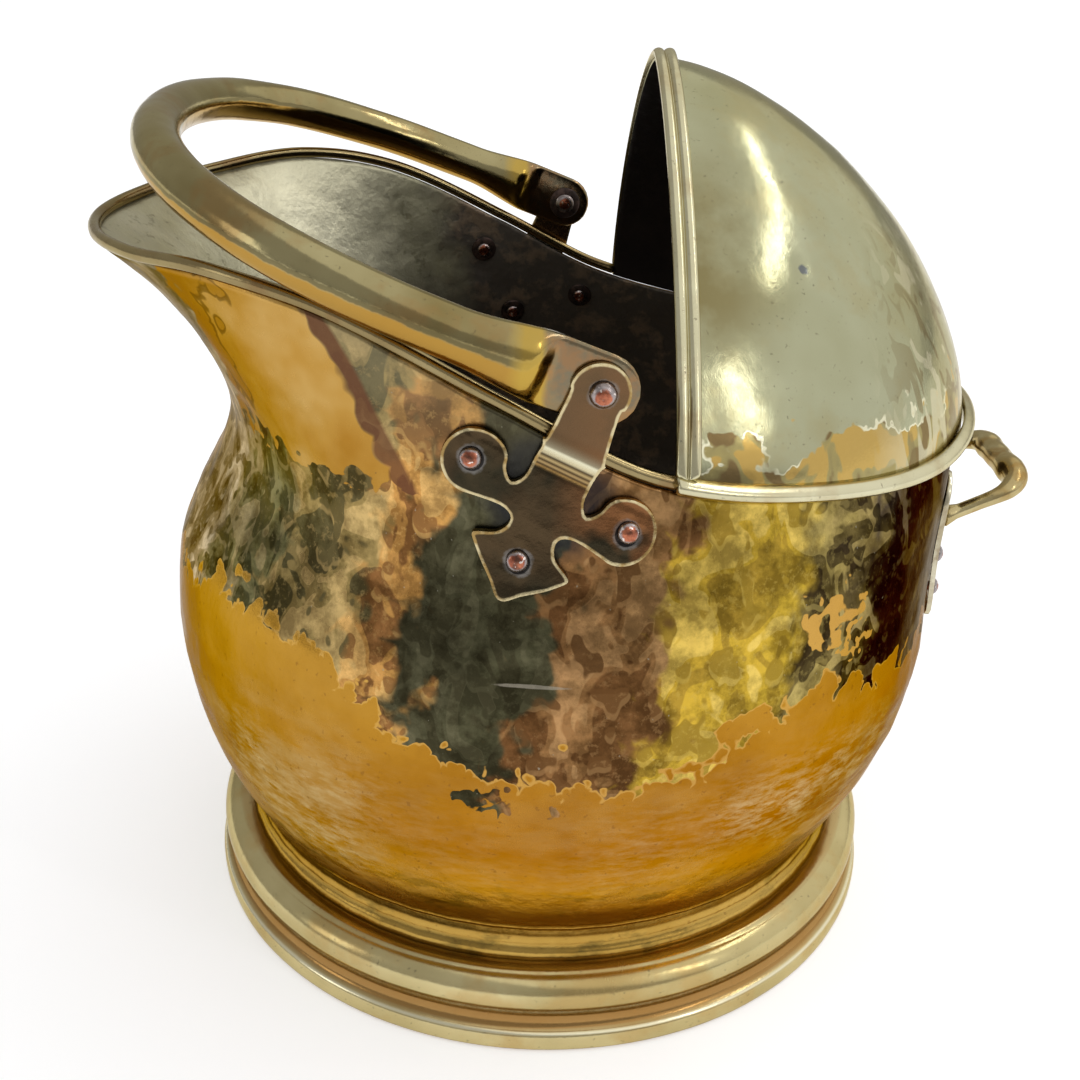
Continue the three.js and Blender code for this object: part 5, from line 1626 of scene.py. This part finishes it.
# One small blue-grey painted reflection in the dent.
from_dent = metal.distance_to(DENT_AT)
spot = metal.step(metal.noise(500, 2) * 0.0012 + from_dent, 0.0026, -0.0008)
colour = metal.mix(spot * 0.85, colour, (0.12, 0.13, 0.15))
hood_brass = metal.done(colour, *surface)
hood_soot = Finish("hood_inside", metallic=0.5)
hood_dark = hood_soot.mix(
    hood_soot.noise(60, 4, 0.6), (0.012, 0.010, 0.011), (0.05, 0.037, 0.03))
hood_inside = hood_soot.done(hood_dark, hood_soot.noise(110, 3) * 0.3 + 0.4,
                             hood_soot.bump(hood_soot.noise(150, 3, 0.6), 0.001, 0.6))
wear((hood_brass, hood_inside), [hood_sheet])

# %% [markdown]
# ## Plate brass and copper
# The brackets were never buffed in their corners: their faces are dark, with a bright line only
# where hands and cloths rub the edge, painted brighter as a highlight. Each corner of the plate
# knows how far it is from the outline, from the nearest rivet and from the plate's middle, and the
# finish reads that.

# %% Plate finish
plate = Finish("dark_plate_brass", edge_tint=(0.7, 0.6, 0.45))
# The bright line along the rubbed edge is painted as a highlight.
worn = plate.noise(190, 2) * 0.9 + 0.45
edge = plate.step(plate.stored("from_edge"), worn, -0.45)
edge_highlight_tone = plate.mix(plate.step(plate.noise(120, 3, 0.6), 0.5, 0.15), (0.62, 0.52, 0.30),
                      (0.36, 0.235, 0.085))
tone = plate.step(plate.noise(55, 4, 0.6), 0.5, 0.3)
face = plate.mix(tone, (0.032, 0.028, 0.017), (0.068, 0.050, 0.027))
px, _, pz = plate.parts(plate.at)
copperish = plate.step(plate.noise(34, 3, 0.6, at=plate.moved(place=(4, 4, 4.03))), 0.46, 0.12)
rear_lobe = plate.step(px, FOOT_X + 0.004, 0.02)
copperish = copperish * (rear_lobe * 0.75 + 0.08)
face = plate.mix(copperish, face, (0.25, 0.105, 0.040))
up_plate = plate.stored("up_plate")
height_up = up_plate / 50  # 1.0 stands for 50 mm
ear = plate.step(up_plate, 20, 6)
face = plate.mix(ear * 0.75, face, (0.155, 0.092, 0.046))
# The bend over the rim gets a painted highlight, and the pressed lines under it get gold painted
# highlights and dark painted shade.
reed_light_and_shade = plate.ramp(height_up, (
    (0.150, (0.05, 0.04, 0.02)), (0.168, (0.40, 0.24, 0.08)), (0.182, (0.05, 0.03, 0.015)),
    (0.196, (0.44, 0.30, 0.13)), (0.212, (0.05, 0.03, 0.015)), (0.232, (0.50, 0.37, 0.17)),
    (0.252, (0.05, 0.032, 0.016)), (0.272, (0.66, 0.58, 0.36)), (0.310, (0.80, 0.76, 0.54)),
    (0.325, (0.30, 0.26, 0.17)), (0.400, (0.17, 0.105, 0.05)),
))
reed_light_area = plate.ramp(height_up, ((0.145, 0), (0.165, 0.9), (0.325, 0.9), (0.42, 0)))
across_plate = (px - BRACKET_CENTRE.x) * math.cos(LEAN) - (pz - BRACKET_CENTRE.z) * math.sin(LEAN)
on_tongue = plate.step(abs(across_plate), 0.0125, -0.001)
face = plate.mix(reed_light_area * on_tongue, face, reed_light_and_shade)
from_rivet = plate.stored("from_rivet")
# A grey painted reflection ring round each rivet.
halo = plate.noise(240, 3, 0.6) * 3.0
halo = plate.step(from_rivet + halo, 6.3, -1.0)
face = plate.mix(halo * 0.5, face, (0.25, 0.24, 0.23))
# A thin dark ring round each rivet.
dark_rivet_ring = plate.step(from_rivet, 4.05, -0.3)
face = plate.mix(dark_rivet_ring * 0.9, face, (0.012, 0.01, 0.01))
plate_colour = plate.mix(edge, face, edge_highlight_tone)
plate_grain = plate.noise(600, 3, 0.7)
plate_dark = plate.done(plate_colour, plate_grain * 0.2 + 0.16,
                        plate.bump(plate.noise(220, 3, 0.6), 0.0004, 0.5))
wear((plate_dark,), list(bracket_plates.values()))

# %% [markdown]
# Outside, the copper is pink on top, with a grey painted reflection at its rim and painted glints.
# The washers inside are sooty.

# %% Copper finishes
red = Finish("rivet_copper", coat=0.3, coat_rough=0.08)
red_tone = red.mix(red.step(red.noise(330, 3, 0.6), 0.5, 0.25), (0.52, 0.17, 0.085),
                   (0.24, 0.065, 0.035))
stain = red.step(red.noise(170, 3, 0.6, at=red.moved(place=(1, 5, 2))), 0.58, 0.1)
red_tone = red.mix(stain * 0.7, red_tone, (0.09, 0.05, 0.035))
from_axis = red.stored("from_axis")
from_middle = red.noise(420, 3, 0.6) * 1.6 + from_axis
rim_reflection = red.step(from_middle, 3.5, 0.6)
red_tone = red.mix(rim_reflection * 0.85, red_tone, (0.34, 0.33, 0.33))
foot_of_dome = red.step(from_axis, 3.55, 0.25)
red_tone = red.mix(foot_of_dome * 0.5, red_tone, (0.16, 0.12, 0.1))
# Painted glints on the copper.
glints = red.step(red.noise(620, 1, 0.5), 0.66, 0.03)
red_tone = red.mix(glints * 0.8, red_tone, (0.95, 0.85, 0.78))
copper = red.done(red_tone, red.noise(700, 2) * 0.2 + 0.18,
                  red.bump(red.noise(300, 2, 0.5), 0.00015, 0.4))
dull = Finish("sooty_copper", metallic=0.7)
dull_tone = dull.mix(dull.step(dull.noise(240, 3, 0.6), 0.5, 0.2), (0.1, 0.062, 0.05),
                     (0.032, 0.022, 0.018))
dull_copper = dull.done(dull_tone, dull.noise(400, 2) * 0.25 + 0.3,
                        dull.bump(dull.noise(300, 3, 0.6), 0.0004, 0.6))
wear((copper,), rivet_heads)
wear((dull_copper,), washer_discs)
# The floor of the well is seen as the solid itself, and it is as sooty as the inside.
wear((inside,), [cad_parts["floor_plate"]])
